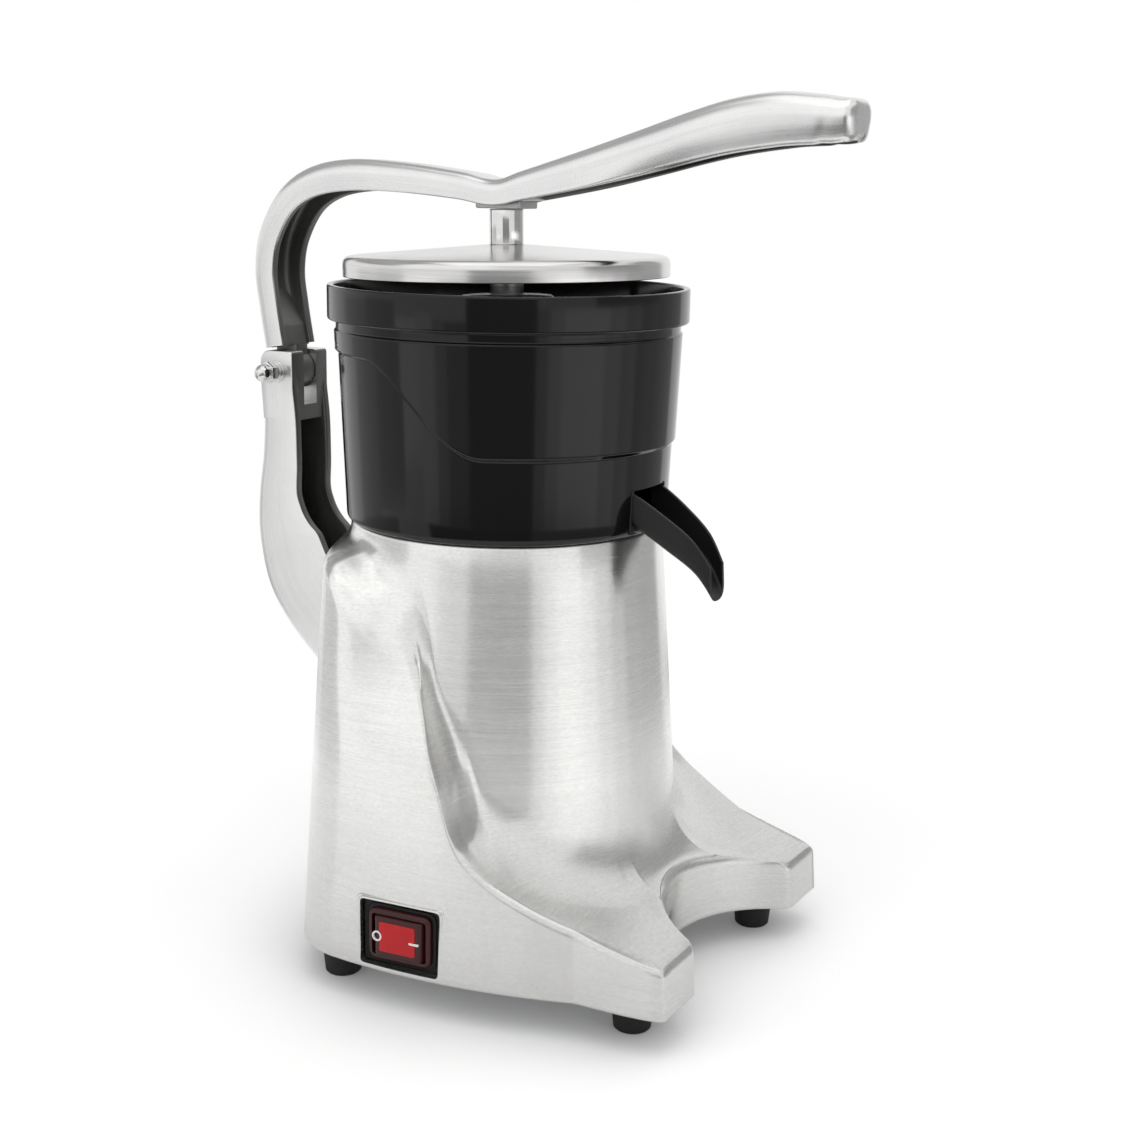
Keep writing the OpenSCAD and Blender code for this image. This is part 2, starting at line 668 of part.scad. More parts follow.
module ridge_region() {
    step = ridge_h + 42.8;
    rotate([90, 0, 90]) translate([0, 0, -150]) linear_extrude(300) polygon(concat(
        [for (i = [0 : 20]) let (t = i / 20) [-34 + 64 * t, top_z + ridge_h + (step - ridge_h) * ease(t)]],
        [[150, top_z + step], [150, rim_z - 4], [-150, rim_z - 4], [-150, top_z + ridge_h]]));
}

module juice_bowl() {
    lip = rim_z - rim_h;
    hub_z = top_z + 30;
    color([0.06, 0.06, 0.06]) difference() {
        union() {
            rotate_extrude($fn = 96) polygon([
                [15, top_z], [bowl_d / 2 - 4, top_z], [bowl_d / 2 - 1.2, top_z + 1], [bowl_d / 2, top_z + 4],
                [bowl_r(lip), lip], [rim_d / 2 - 1, lip + 0.8], [rim_d / 2, lip + 2], [rim_d / 2, rim_z - 1],
                [rim_d / 2 - 1, rim_z], [rim_d / 2 - 2.6, rim_z], [rim_d / 2 - 3.6, rim_z - 1],
                [rim_d / 2 - 4, lip + 1], [bowl_r(lip) - bowl_t, lip - 1],
                [bowl_r(top_z + 34) - bowl_t, top_z + 34], [bowl_r(top_z + 34) - bowl_t - 7, top_z + 34],
                [bowl_r(top_z + 34) - bowl_t - 7, top_z + 32.5], [bowl_r(top_z + 25) - bowl_t, top_z + 25],
                [bowl_r(top_z + 6) - bowl_t, top_z + 6], [bowl_d / 2 - bowl_t - 4, top_z + 3],
                [18, top_z + 5], [17.5, hub_z], [15, hub_z]]);
            intersection() {
                rotate_extrude($fn = 96) polygon([
                    [bowl_r(top_z + 30) - 1, top_z + 30], [bowl_r(top_z + 30) + band_t, top_z + 30],
                    [bowl_r(lip) + band_t, lip], [bowl_r(lip) - 1, lip]]);
                ridge_region();
            }
        }
        translate([-spout_w - 0.6, -bowl_d, top_z + 2.6]) cube([2 * spout_w + 1.2, bowl_d, 20.6]);
    }
    color([0.06, 0.06, 0.06]) difference() {
        translate([0, 0, top_z]) rotate_extrude()
            polygon([[15, 0], [40, 0], [40, 3.4], [18, 5], [17.5, 30], [15, 30]]);
        translate([-100, -100, top_z - 1]) cube([200, 60, 60]);
    }
}

spout_knots = [
    [-119.5, top_z - 28.5, 17.5, spout_w * 0.5], [-110.5, top_z - 16, 18, spout_w * 0.68],
    [-96, top_z - 5.5, 18.6, spout_w * 0.88], [-bowl_d / 2 - 1, top_z + 2.9, 18.6, spout_w],
    [-bowl_d / 2 + 5.5, top_z + 4.2, 18.6, spout_w]];

module spout() {
    color([0.05, 0.05, 0.05]) {
        channel(spout_knots, 6, 2.2, 2, 7, [0.06, 1]);
        difference() {
            intersection() {
                rotate_extrude($fn = 96) polygon([
                    [bowl_r(top_z + 1.6), top_z + 1.6], [bowl_r(top_z + 1.6) + 0.6, top_z + 1.6],
                    [bowl_r(top_z + 23.6) + 0.6, top_z + 23.6], [bowl_r(top_z + 23.6), top_z + 23.6]]);
                translate([-spout_w - 1.2, -120, top_z]) cube([2 * spout_w + 2.4, 120, 40]);
            }
            translate([-spout_w + 0.5, -120, top_z + 6]) cube([2 * spout_w - 1, 120, 40]);
        }
    }
}

module strainer() {
    floor_z = top_z + 34;
    out = min(bowl_r(floor_z), bowl_r(floor_z + strainer_h)) - bowl_t - 0.4;
    color([0.8, 0.8, 0.81]) difference() {
        rotate_extrude($fn = 72) polygon([
            [21, floor_z], [out - 4, floor_z], [out - 1.5, floor_z + 3], [out, floor_z + strainer_h],
            [out - 2, floor_z + strainer_h], [out - 3.5, floor_z + 3.6], [out - 5, floor_z + 2],
            [23, floor_z + 2], [23, floor_z + 6], [21, floor_z + 6]]);
        for (i = [0 : slots - 1]) rotate(i * 360 / slots)
            translate([44, -1.3, floor_z - 1]) cube([out - 51, 2.6, 10]);
        for (i = [0 : slots / 2 - 1]) rotate((i + 0.25) * 720 / slots)
            translate([28, -1.3, floor_z - 1]) cube([13, 2.6, 10]);
    }
}

// Ogive of the reamer: radius at a share of its height
function ogive(t) = (reamer_d / 2 - 3) * sqrt(max(1 - t * t, 0)) * (1 - 0.25 * t) + 1.2;

module reamer() {
    base_z = top_z + 46;
    color([0.93, 0.92, 0.88]) difference() {
        union() {
            rotate_extrude() polygon(concat(
                [[0, base_z]],
                [for (i = [0 : 14]) [ogive(i / 14), base_z + 3 + (reamer_h - 6) * i / 14]],
                [[0, base_z + reamer_h - 3]]));
            translate([0, 0, base_z]) cylinder(r = reamer_d / 2, h = 3);
            for (i = [0 : ribs - 1]) rotate(i * 360 / ribs) rotate([90, 0, 0]) translate([0, 0, -1.25])
                linear_extrude(2.5) polygon(concat(
                    [[0, base_z + 1]],
                    [for (j = [0 : 12])
                        [ogive(j / 12) + 2.2 * (1 - j / 14), base_z + 2 + (reamer_h - 3) * j / 12]],
                    [[0, base_z + reamer_h]]));
        }
        translate([0, 0, base_z - 1]) cylinder(r = 19.5, h = 5);
        translate([0, 0, base_z + 3.9]) cylinder(r1 = 19.5, r2 = shaft_d / 2 + 3, h = 9);
        translate([0, 0, base_z - 1]) cylinder(r = shaft_d / 2 + 0.01, h = 30.5);
    }
}

// Lever casting from the ears over the bend and the kink to the handle tip
function lever_row(y, z, d, w) = [y * reach, pivot_z + (z - 65.5) * rise, d, lever_w / 2 * w];
lever_knots = [
    lever_row(147.6, 77, 14.5, 1), lever_row(151.3, 98, 14.5, 1), lever_row(154, 118.5, 15, 1),
    lever_row(150.2, 139.5, 15.5, 1), lever_row(137, 160, 15.5, 1), lever_row(118, 172, 16, 1),
    lever_row(92, 176.6, 16, 1), lever_row(58, 175, 14.5, 1), lever_row(22, 170.8, 13, 1),
    lever_row(3, 167.6, 12.4, 1), lever_row(-12.5, 172, 14.2, 1), lever_row(-44.4, 181.6, 18, 1),
    lever_row(-73.4, 190.7, 20.8, 1.02), lever_row(-100.7, 199.4, 23, 1.06),
    lever_row(-122, 205, 24.4, 1.1), lever_row(-144, 207.6, 24.2, 1.12),
    lever_row(-164, 206.2, 21.8, 1.1), lever_row(-173, 204.9, 19.8, 1.06),
    lever_row(-178.5, 204.4, 18.4, 1.01), lever_row(-181.6, 203.6, 16.2, 0.93)];

// Solid root of the lever above the ears, and the solid end of the handle
root_shape = [
    [pivot_y - 2.8, pivot_z + 12 * rise], [pivot_y + 9, pivot_z + 12 * rise],
    [pivot_y + 12.5, pivot_z + 45 * rise], [pivot_y - 0.2, pivot_z + 24 * rise]];
tip_shape = [
    [-160 * reach, pivot_z + 138 * rise], [-160 * reach, pivot_z + 121.4 * rise],
    [-178 * reach, pivot_z + 122.4 * rise], [-180 * reach, pivot_z + 136 * rise]];

module lever() {
    color([0.78, 0.78, 0.77]) difference() {
        union() {
            channel(lever_knots, 4, web_t, side_t, 8.5);
            translate([-lever_w / 2 + 2, press_y - 16, seat_z]) cube([lever_w - 4, 32, 8]);
            side_prism(root_shape, lever_w - 8);
            side_prism(tip_shape, lever_w - 6);
            across(-slot_w / 2 + 0.4, pivot_y, pivot_z) cylinder(r = ear_r - 0.8, h = slot_w - 0.8);
            translate([-slot_w / 2 + 0.4, pivot_y - 6, pivot_z]) cube([slot_w - 0.8, 14, 14]);
        }
        difference() {
            union() {
                across(-50, pivot_y, pivot_z) cylinder(r = ear_reach, h = 100);
                translate([-50, pivot_y - 40, pivot_z - 40]) cube([100, 80, 40.9 + ear_r]);
            }
            translate([-slot_w / 2 + 0.4, pivot_y - 50, pivot_z - 50]) cube([slot_w - 0.8, 100, 100]);
        }
        across(-50, pivot_y, pivot_z) cylinder(r = pivot_d / 2 + 1.5, h = 100);
        rod_screw_places() translate([0, 0, -10]) cylinder(r = 1.52, h = 16);
    }
}

module rod_screw_places() {
    for (s = [-1, 1]) translate([s * 6, press_y + s * 10, seat_z]) children();
}

module pivot_bush() {
    color([0.7, 0.55, 0.3]) across(-slot_w / 2 + 0.4, pivot_y, pivot_z)
        tube(pivot_d / 2 + 1.5, pivot_d / 2 + run, slot_w - 0.8);
}

module rod_plate() {
    color([0.74, 0.74, 0.75]) difference() {
        translate([-9, press_y - 13, seat_z - seat_t]) cube([18, 26, seat_t]);
        rod_screw_places() {
            translate([0, 0, -10]) cylinder(r = 1.6, h = 20);
            translate([0, 0, -seat_t - 1]) cylinder(r = 2.5, h = 2.6);
        }
        translate([0, press_y, seat_z - 10]) cylinder(r = 4.1, h = 20);
    }
}

module rod_plate_screws() {
    color([0.7, 0.7, 0.72]) rod_screw_places() translate([0, 0, -seat_t]) {
        difference() {
            cylinder(r = 2.4, h = 1.6);
            translate([0, 0, -e]) cylinder(r = 1.1, h = 1, $fn = 6);
        }
        translate([0, 0, 1.5]) cylinder(r = 1.5, h = 6.5);
    }
}

// Press group hangs from the rod plate and leans forward-up by press_tilt
module press_place() {
    hang_z = seat_z - seat_t;
    translate([0, press_y, hang_z]) rotate([-press_tilt, 0, 0]) translate([0, 0, -hang_z]) children();
}

module press_rod() {
    color([0.85, 0.85, 0.86]) press_place() {
        translate([0, 0, lid_top]) cylinder(r = rod_d / 2, h = rod_l - 0.15);
        translate([0, 0, lid_top - cup_neck - 6]) cylinder(r = 4, h = cup_neck + 7);
    }
    color([0.85, 0.85, 0.86]) translate([0, press_y, seat_z - seat_t - 0.4])
        cylinder(r = 4, h = seat_t + 0.4);
}

module splash_lid() {
    r = lid_d / 2;
    brow = lid_z + lid_h;
    color([0.8, 0.8, 0.81]) press_place() rotate_extrude($fn = 96) polygon([
        [4.1, lid_top], [rod_d / 2 + 1, lid_top], [r - 5, brow + 0.1], [r - 2.4, brow - 0.6],
        [r - 0.8, brow - 2], [r, brow - 4.4], [r, lid_z], [r - 1.2, lid_z], [r - 1.2, brow - 4.4],
        [r - 1.8, brow - 2.8], [r - 3, brow - 1.7], [r - 5.2, brow - 1.1], [rod_d / 2 + 1, lid_top - 1.2],
        [4.1, lid_top - 1.2]]);
}

// Inside of the press cup clears the reamer ribs
function bell(t) = cup_d / 2 - 2.4 - (cup_d / 2 - 22) * pow(t, 2.4);

module press_cup() {
    crown = lid_top - 1.2;
    low = top_z + 74;
    high = crown - cup_neck;
    color([0.78, 0.78, 0.77]) press_place() rotate_extrude() polygon(concat(
        [for (i = [0 : 12]) [bell(i / 12) + 2.4, low + (high + 2.4 - low) * i / 12]],
        [[rod_d / 2 - 0.1, high + 3], [rod_d / 2 - 0.1, crown], [4.1, crown], [4.1, high]],
        [for (i = [12 : -1 : 0]) [bell(i / 12), low + (high - low) * i / 12]]));
}

module cup_nut() {
    color([0.75, 0.75, 0.77]) press_place() translate([0, 0, lid_top - cup_neck - 6.2]) difference() {
        union() {
            cylinder(r = 6.6, h = 4.2, $fn = 6);
            translate([0, 0, 4]) cylinder(r = 8, h = 1);
        }
        translate([0, 0, -1]) cylinder(r = 4.02, h = 9);
    }
}

// Rocker switch in its recess on the left side wall
rocker_r = 15;
axle_z = -6;

module switch_panel() {
    color([0.04, 0.04, 0.04]) at_pad() difference() {
        block(pad_w - 0.6, pad_h - 0.6, -4, -2);
        block(31, 20.8, -10, 10);
    }
}

module switch_boot() {
    color([0.12, 0.02, 0.02]) at_pad() difference() {
        translate([0, 0, -2]) linear_extrude(3.6) round_box(34, 26, 4);
        block(31, 20.8, -10, 10);
    }
}

module round_box(w, h, r) {
    union() {
        square([w - 2 * r, h], center = true);
        square([w, h - 2 * r], center = true);
        for (x = [-1, 1], y = [-1, 1]) translate([x * (w / 2 - r), y * (h / 2 - r)]) circle(r = r);
    }
}

module switch_body() {
    color([0.07, 0.07, 0.07]) at_pad() difference() {
        union() {
            block(30, 21.6, -26, -4);
            for (s = [-9, 0, 9]) translate([s, 0, 0]) block(0.8, 6.3, -33, -25);
        }
        translate([0, 11, axle_z]) rotate([90, 0, 0]) cylinder(r = 4 + run, h = 22);
    }
}

module switch_rocker() {
    color([0.55, 0.03, 0.03]) at_pad() union() {
        intersection() {
            translate([0, 10, axle_z]) rotate([90, 0, 0]) cylinder(r = rocker_r, h = 20);
            block(40, 20, -1.6, 3.6);
        }
        translate([0, 9.6, axle_z]) rotate([90, 0, 0]) cylinder(r = 4, h = 19.2);
        block(4, 19.2, axle_z, 0);
        block(19.4, 15, 3.5, 4);
    }
}

module cable_gland() {
    color([0.08, 0.08, 0.08])
    translate([gland_x, rear_y - 4, edge_z + 26]) rotate([-90, 0, 0]) difference() {
        union() {
            translate([0, 0, -16]) cylinder(r = 8, h = 17);
            cylinder(r = 11, h = 5, $fn = 6);
            translate([0, 0, 5 - e]) cylinder(r1 = 9.5, r2 = 7, h = 10);
        }
        translate([0, 0, -20]) cylinder(r = 4, h = 50);
    }
}

module placed() {
    translate([0, shift_y, 0]) children();
}

placed() housing();
placed() base_plate();
placed() base_plate_screws();
placed() foot_front_left();
placed() foot_front_right();
placed() foot_rear_left();
placed() foot_rear_right();
placed() foot_screws();
placed() lever_column();
placed() column_bolts();
placed() pivot_bolt();
placed() pivot_washers();
placed() acorn_nut();
placed() motor_top_bracket();
placed() bracket_screws();
placed() stator_core();
placed() windings();
placed() motor_bottom_bracket();
placed() tie_bolts();
placed() upper_bearing();
placed() lower_bearing();
placed() shaft_seal();
placed() drive_shaft();
placed() rotor();
placed() cooling_fan();
placed() capacitor();
placed() capacitor_strap();
placed() juice_bowl();
placed() spout();
placed() strainer();
placed() reamer();
placed() lever();
placed() pivot_bush();
placed() rod_plate();
placed() rod_plate_screws();
placed() press_rod();
placed() splash_lid();
placed() press_cup();
placed() cup_nut();
placed() switch_panel();
placed() switch_boot();
placed() switch_body();
placed() switch_rocker();
placed() cable_gland();
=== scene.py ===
"""Looks of an electric citrus juicer with a hand lever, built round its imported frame.

Lengths are in millimetres from the drive axis until a mesh is made, which moves them into the
shared frame in metres. Geometry node trees, finishes and the studio work in metres.
"""
import math

import bmesh
import bpy
import numpy as np
from mathutils import Matrix, Vector


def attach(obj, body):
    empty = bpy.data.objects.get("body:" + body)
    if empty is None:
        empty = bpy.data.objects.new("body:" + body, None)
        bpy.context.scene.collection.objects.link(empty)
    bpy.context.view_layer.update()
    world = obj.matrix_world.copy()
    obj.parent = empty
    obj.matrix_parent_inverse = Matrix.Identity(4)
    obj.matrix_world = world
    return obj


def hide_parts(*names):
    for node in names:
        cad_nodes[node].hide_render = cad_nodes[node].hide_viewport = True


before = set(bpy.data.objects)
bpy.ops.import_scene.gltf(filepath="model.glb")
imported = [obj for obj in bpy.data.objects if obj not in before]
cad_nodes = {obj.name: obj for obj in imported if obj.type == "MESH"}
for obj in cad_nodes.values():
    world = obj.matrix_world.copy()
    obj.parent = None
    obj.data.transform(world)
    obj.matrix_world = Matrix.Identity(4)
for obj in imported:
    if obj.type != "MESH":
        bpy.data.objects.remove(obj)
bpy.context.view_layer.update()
scene = bpy.context.scene

QUARTER = math.pi / 2
SHIFT_Y = 13.75
FRAME_AXIS = SHIFT_Y / 1000

# Housing
TOP_Z, EDGE_Z, EDGE_R = 222.5, 18.0, 1.5
TOWER_R, CAST_WALL = 79.0, 7.0
TOWER_SLOPE = math.tan(math.radians(4.17))
WALL_SLOPE = math.tan(math.radians(4.0))
SIDE_X, SIDE_BOW, SIDE_MIDDLE = 116.0, 300.0, 10.0
REAR_Y, REAR_BOW, CORNER_BLEND = 91.5, 160.0, 12.0
TOE_Y, TOE_Z, TOE_INSIDE, TOE_OUTSIDE = 142.4, 41.8, 4.0, 5.0
TOE_TURN = math.radians(2.1)
NOTCH_R, NOTCH_C, NOTCH_EASE = 62.0, 167.0, 0.06
CREST_MAX = TOP_Z - 6
COVE, COVE_UP, CREST_ROUND, EDGE_SOFT, WAIST, SKIRT_OFF = 22.0, 9.0, 16.0, 2.6, 14.0, 1.2
FLOW_SHARE, FLOW_ROOM, FLOW_HANDLE = 0.85, 2.5, 0.52
FOOT_PLACES = [(-68.9, -115), (68.9, -115), (-93, 37), (93, 37)]
PLATE_Z, PLATE_T = EDGE_Z + 2, 2.0
PLATE_SCREWS, PLATE_SCREW_IN = (62, 128), 14.0

# Starts and lengths of the stretches over which the forms of the skin come in
WAIST_RISE, WAIST_FRONT = (115, 60), (-20, 75)
ROUND_RISE, ROUND_FALL = (150, 40), (200, 16)
COVE_RISE, FLOW_RISE = (60, 45), (142, 40)

# Seats on the housing
BOSS_W, BOSS_START = 32.0, 60.0
ROOF_LOW, ROOF_SEAT, ROOF_HIGH = TOP_Z - 12, TOP_Z - 3.2, TOP_Z + 9
ROOF_HOLE_R, ROOF_SCREW_AT = 22.3, 40.0
BOSS_Y = TOWER_R + 115 * TOWER_SLOPE + 1.3
BOLT_HEIGHTS = (TOP_Z - 92, TOP_Z - 56)
PAD_AT, PAD_YAW = (-112.0, -12.0, 37.0), 5.6
PAD_W, PAD_H = 43.0, 32.5
GLAND_AT = (46, REAR_Y - 4, EDGE_Z + 26)

# Layers of the switch: width, height and corner, and levels out of the wall
PANEL, COLLAR, PANEL_HOLE = (PAD_W - 0.6, PAD_H - 0.6, 2), (37.5, 29, 5), (31, 20.8, 1)
BOOT, BOOT_HOLE = (34, 26, 5), (29.4, 20.8, 1.6)
WINDOW, STALK, STROKE = (19.4, 15, 1.2), (4, 19.2, 0.3), (5.2, 1.1, 0.4)
PANEL_LOW, PANEL_HIGH, BOOT_HIGH, MARK_LOW, MARK_HIGH = -4, -2, 1.9, 3.0, 4.15
ROCKER_W, ROCKER_FOOT, ROCKER_TOP, AXLE_R, AXLE_DEEP = 20.0, (14.2, -1.6), (12.1, 3.6), 4.0, 6.0

# Bowl and what works inside it
RIM_R, RIM_Z, RIM_H = 90.0, 339.1, 17.0
LIP_Z = RIM_Z - RIM_H
BOWL_R, BOWL_WALL, BAND = 81.25, 2.6, 1.6
RIDGE_LOW, RIDGE_STEP, NECK_Z = 41.5, 42.8, LIP_Z - 4.6
LEDGE_Z, LEDGE, HUB_R, HUB_Z = TOP_Z + 34, 7.0, 15.0, TOP_Z + 30
SPOUT_W = 16.0
CONE_Z, CONE_H, CONE_R, CONE_RIBS = TOP_Z + 46, 56.0, 34.0, 10

# Column, lever and press group
PIVOT_Y, PIVOT_Z, PIN_R, HEX_R = 137.2, 288.0, 3.0, 5.7
COLUMN_W, LEVER_W, WEB, WALL, LEAST_LIP = 30.0, 28.0, 5.0, 4.5, 0.9
EAR_R, EAR_SLOT, EAR_ROUND = 11.0, 10.6, 6.5
EAR_REACH = (EAR_R - EAR_ROUND) * math.sqrt(2) + EAR_ROUND + 0.45
TONGUE = EAR_SLOT - 0.8
SWELL_ROUND, SWELL_LIP, SWELL_TUCK = 7.0, 2.4, 3.0
SWELL_FROM, TIP_FROM = (30, 70), (160, 3)
LID_R, LID_Z, LID_H, LID_RISE, LID_T = 81.0, 343.5, 10.0, 5.3, 1.2
LID_TOP = LID_Z + LID_H + LID_RISE
ROD_R, ROD_END_R, PRESS_Y, PRESS_TILT = 8.5, 4.0, 2.0, 1.0
SEAT_Z, SEAT_T = 380.0, 3.8
SEAT_LOW = SEAT_Z - SEAT_T
SEAT_STEP = SEAT_LOW + 1.6
SEAT_SCREWS = [(side * 6, PRESS_Y + side * 10) for side in (-1, 1)]
BORE_R = ROD_END_R + 0.1
CUP_R, CUP_T, CUP_DRAW, CUP_BEND = 46.0, 2.4, 24.0, 2.4


# Mesh making

def shift(x, y, z):
    """Matrix of a move."""
    return Matrix.Translation((x, y, z))


def rotate(degrees, axis):
    """Matrix of a turn about one of the main axes."""
    return Matrix.Rotation(math.radians(degrees), 4, axis)


def full_turn(count):
    """Equal angles all the way round."""
    return np.linspace(0, 2 * math.pi, count, endpoint=False)


def polar(r, bearing):
    """Place at a distance from the drive axis; bearings turn from the front to the right."""
    return r * math.sin(bearing), -r * math.cos(bearing)


def to_frame(points):
    """Millimetres from the drive axis to metres in the shared frame."""
    return (np.asarray(points, float) + (0, SHIFT_Y, 0)) / 1000


def new_piece(name, points, faces, uv=None):
    """Object from points and faces; uv holds one pair for each corner of each face."""
    mesh = bpy.data.meshes.new(name)
    mesh.from_pydata(to_frame(points).tolist(), [], [tuple(int(i) for i in f) for f in faces])
    if uv is not None:
        mesh.uv_layers.new(name="along").data.foreach_set("uv", np.asarray(uv, np.float32).ravel())
    shape = bmesh.new()
    shape.from_mesh(mesh)
    bmesh.ops.remove_doubles(shape, verts=shape.verts, dist=2e-7)
    bmesh.ops.recalc_face_normals(shape, faces=shape.faces)
    shape.to_mesh(mesh)
    shape.free()
    return linked(name, mesh)


def linked(name, data):
    """Object that shows a mesh, a lamp or a camera in the scene."""
    thing = bpy.data.objects.new(name, data)
    scene.collection.objects.link(thing)
    return thing


def bend(start, middle, end, steps):
    """Points of a curve from start to end that is drawn towards its middle point."""
    return [(1 - t) ** 2 * start + 2 * t * (1 - t) * middle + t * t * end
            for t in np.linspace(0, 1, steps + 1)]


def rounded(corners, steps=5):
    """Closed outline whose corners (a, b, radius) are blended round."""
    out = []
    for i, (a, b, radius) in enumerate(corners):
        here = np.array((a, b), float)
        if radius <= 0:
            out.append(here)
            continue
        back = np.array(corners[i - 1][:2], float) - here
        on = np.array(corners[(i + 1) % len(corners)][:2], float) - here
        long_back, long_on = np.linalg.norm(back), np.linalg.norm(on)
        back, on = back / long_back, on / long_on
        half = math.acos(float(np.clip(back @ on, -1, 1))) / 2
        reach = min(radius / max(math.tan(half), 1e-3), 0.48 * long_back, 0.48 * long_on)
        out += bend(here + back * reach, here, here + on * reach, steps)
    return np.array(out)


def ring_faces(columns, rows, closed_rows=True, closed_columns=True):
    """Quads between neighbouring columns of points, each column rows long."""
    faces = []
    for j in range(columns if closed_columns else columns - 1):
        a, b = j * rows, ((j + 1) % columns) * rows
        for i in range(rows if closed_rows else rows - 1):
            k = (i + 1) % rows
            faces.append((a + i, b + i, b + k, a + k))
    return faces


def lathe(outline, segments):
    """Points and faces of a closed outline (radius, height) turned about the drive axis."""
    points = [(*polar(r, turn), z) for turn in full_turn(segments) for r, z in outline]
    return points, ring_faces(segments, len(outline))


def turned(points, matrix):
    """Points carried by a 4 by 4 matrix."""
    m = np.array(matrix, float)
    return np.asarray(points, float) @ m[:3, :3].T + m[:3, 3]


def pad_matrix():
    """Local frame of the switch recess: X to the front, Y up, Z out of the wall."""
    return shift(*PAD_AT) @ rotate(PAD_YAW, "Z") @ rotate(-90, "Z") @ rotate(90, "X")


def press_matrix():
    """Lean of the group that hangs from the lever."""
    return shift(0, PRESS_Y, SEAT_LOW) @ rotate(-PRESS_TILT, "X") @ shift(0, 0, -SEAT_LOW)


def pivot_matrix(x=0.0, sign=1):
    """Turns the vertical axis of a lathe into the pivot line across the object."""
    return shift(x, PIVOT_Y, PIVOT_Z) @ rotate(90 * sign, "Y")


def spun(name, outline, matrix=None, segments=64):
    """Turned piece, carried to its place."""
    points, faces = lathe(outline, segments)
    return new_piece(name, points if matrix is None else turned(points, matrix), faces)


def bar(name, radius, low, high, matrix=None, segments=48):
    """Plain round bar."""
    return spun(name, [(0, low), (radius, low), (radius, high), (0, high)], matrix, segments)


def stepped_bar(name, low, step, high, low_r, high_r, matrix, segments):
    """Round bar that changes its radius at a step."""
    outline = [(0, low), (low_r, low), (low_r, step), (high_r, step), (high_r, high), (0, high)]
    return spun(name, outline, matrix, segments)


def prism(name, outline, low, high, matrix=None, soft=0.0, steps=3):
    """Outline in plan raised from low to high, with its top and bottom edges softened."""
    outline = np.asarray(outline, float)
    middle = (outline.max(0) + outline.min(0)) / 2
    half = (outline.max(0) - outline.min(0)) / 2
    levels = [(low, 0.0), (high, 0.0)]
    if soft:
        arc = [(1 - math.sin(a), 1 - math.cos(a)) for a in np.linspace(0, QUARTER, steps + 1)]
        levels = [(low + soft * v, soft * u) for u, v in arc]
        levels += [(high - soft * v, soft * u) for u, v in reversed(arc)]
    rings = []
    for z, inset in levels:
        ring = middle + (outline - middle) * (1 - inset / half)
        rings.append(np.column_stack([ring, np.full(len(ring), z)]))
    n, points = len(outline), np.concatenate(rings)
    faces = ring_faces(len(levels), n, closed_columns=False)
    faces += [tuple(range(n)), tuple(range(len(points) - n, len(points)))[::-1]]
    return new_piece(name, points if matrix is None else turned(points, matrix), faces)


def plate_outline(width, height, radius, steps=6):
    """Rectangle with round corners, centred on its middle."""
    w, h = width / 2, height / 2
    return rounded([(-w, -h, radius), (w, -h, radius), (w, h, radius), (-w, h, radius)], steps)


def block(name, width, height, radius, low, high, matrix=None, soft=0.0, steps=3):
    """Prism over a rectangle with round corners."""
    return prism(name, plate_outline(width, height, radius), low, high, matrix, soft, steps)


def polygon_outline(sides, radius):
    """Regular polygon with one corner on the first axis."""
    return [(radius * math.cos(a), radius * math.sin(a)) for a in full_turn(sides)]


def settle(piece):
    """Modifiers become plain mesh."""
    bpy.context.view_layer.update()
    graph = bpy.context.evaluated_depsgraph_get()
    mesh = bpy.data.meshes.new_from_object(piece.evaluated_get(graph))
    piece.modifiers.clear()
    old = piece.data
    piece.data = mesh
    bpy.data.meshes.remove(old)
    return piece


def combine(piece, tools, operation):
    """Joins or subtracts helper solids, which are then thrown away."""
    for tool in tools:
        step = piece.modifiers.new("combine", "BOOLEAN")
        step.operation, step.solver, step.object = operation, "MANIFOLD", tool
    settle(piece)
    for tool in tools:
        mesh = tool.data
        bpy.data.objects.remove(tool, do_unlink=True)
        bpy.data.meshes.remove(mesh)


def fuse(piece, *tools):
    """Adds helper solids to a piece."""
    combine(piece, tools, "UNION")


def cut(piece, *tools):
    """Cuts helper solids out of a piece."""
    combine(piece, tools, "DIFFERENCE")


def dress(piece, finish, body, nodes=(), crease=35):
    """Finish, soft shading between creases, and the body that the piece belongs to; the nodes it stands for
    are hidden.
    """
    mesh = piece.data
    mesh.materials.clear()
    mesh.materials.append(finish)
    shape = bmesh.new()
    shape.from_mesh(mesh)
    limit = math.radians(crease)
    for face in shape.faces:
        face.smooth = True
        face.material_index = 0
    for edge in shape.edges:
        edge.smooth = len(edge.link_faces) != 2 or edge.calc_face_angle(0) < limit
    shape.to_mesh(mesh)
    shape.free()
    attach(piece, body)
    if nodes:
        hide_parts(*nodes)


# Curves shared with the castings

def curve(knots, steps):
    """Catmull-Rom curve through the knots."""
    k = np.asarray(knots, float)
    out = []
    for i in range(len(k) - 1):
        a, b, c, d = k[max(i - 1, 0)], k[i], k[i + 1], k[min(i + 2, len(k) - 1)]
        for t in np.arange(steps) / steps:
            out.append(0.5 * (2 * b + (c - a) * t + (2 * a - 5 * b + 4 * c - d) * t * t
                              + (3 * b - a - 3 * c + d) * t ** 3))
    return np.array(out + [k[-1]])


def cubic(start, leave, arrive, end, steps):
    """Points after the start of a curve that leaves and arrives along its two handles."""
    return np.array([(1 - t) ** 3 * start + 3 * t * (1 - t) ** 2 * leave
                     + 3 * t * t * (1 - t) * arrive + t ** 3 * end
                     for t in np.linspace(0, 1, steps + 1)[1:]])


def fade(value, start, run):
    """0 up to the start and 1 after the run, smooth between them."""
    t = np.clip((value - start) / run, 0, 1)
    return t * t * (3 - 2 * t)


def at_least(value, floor):
    """Greater of two heights, rounded where they are near each other."""
    return floor + (value - floor + math.hypot(value - floor, 3)) / 2


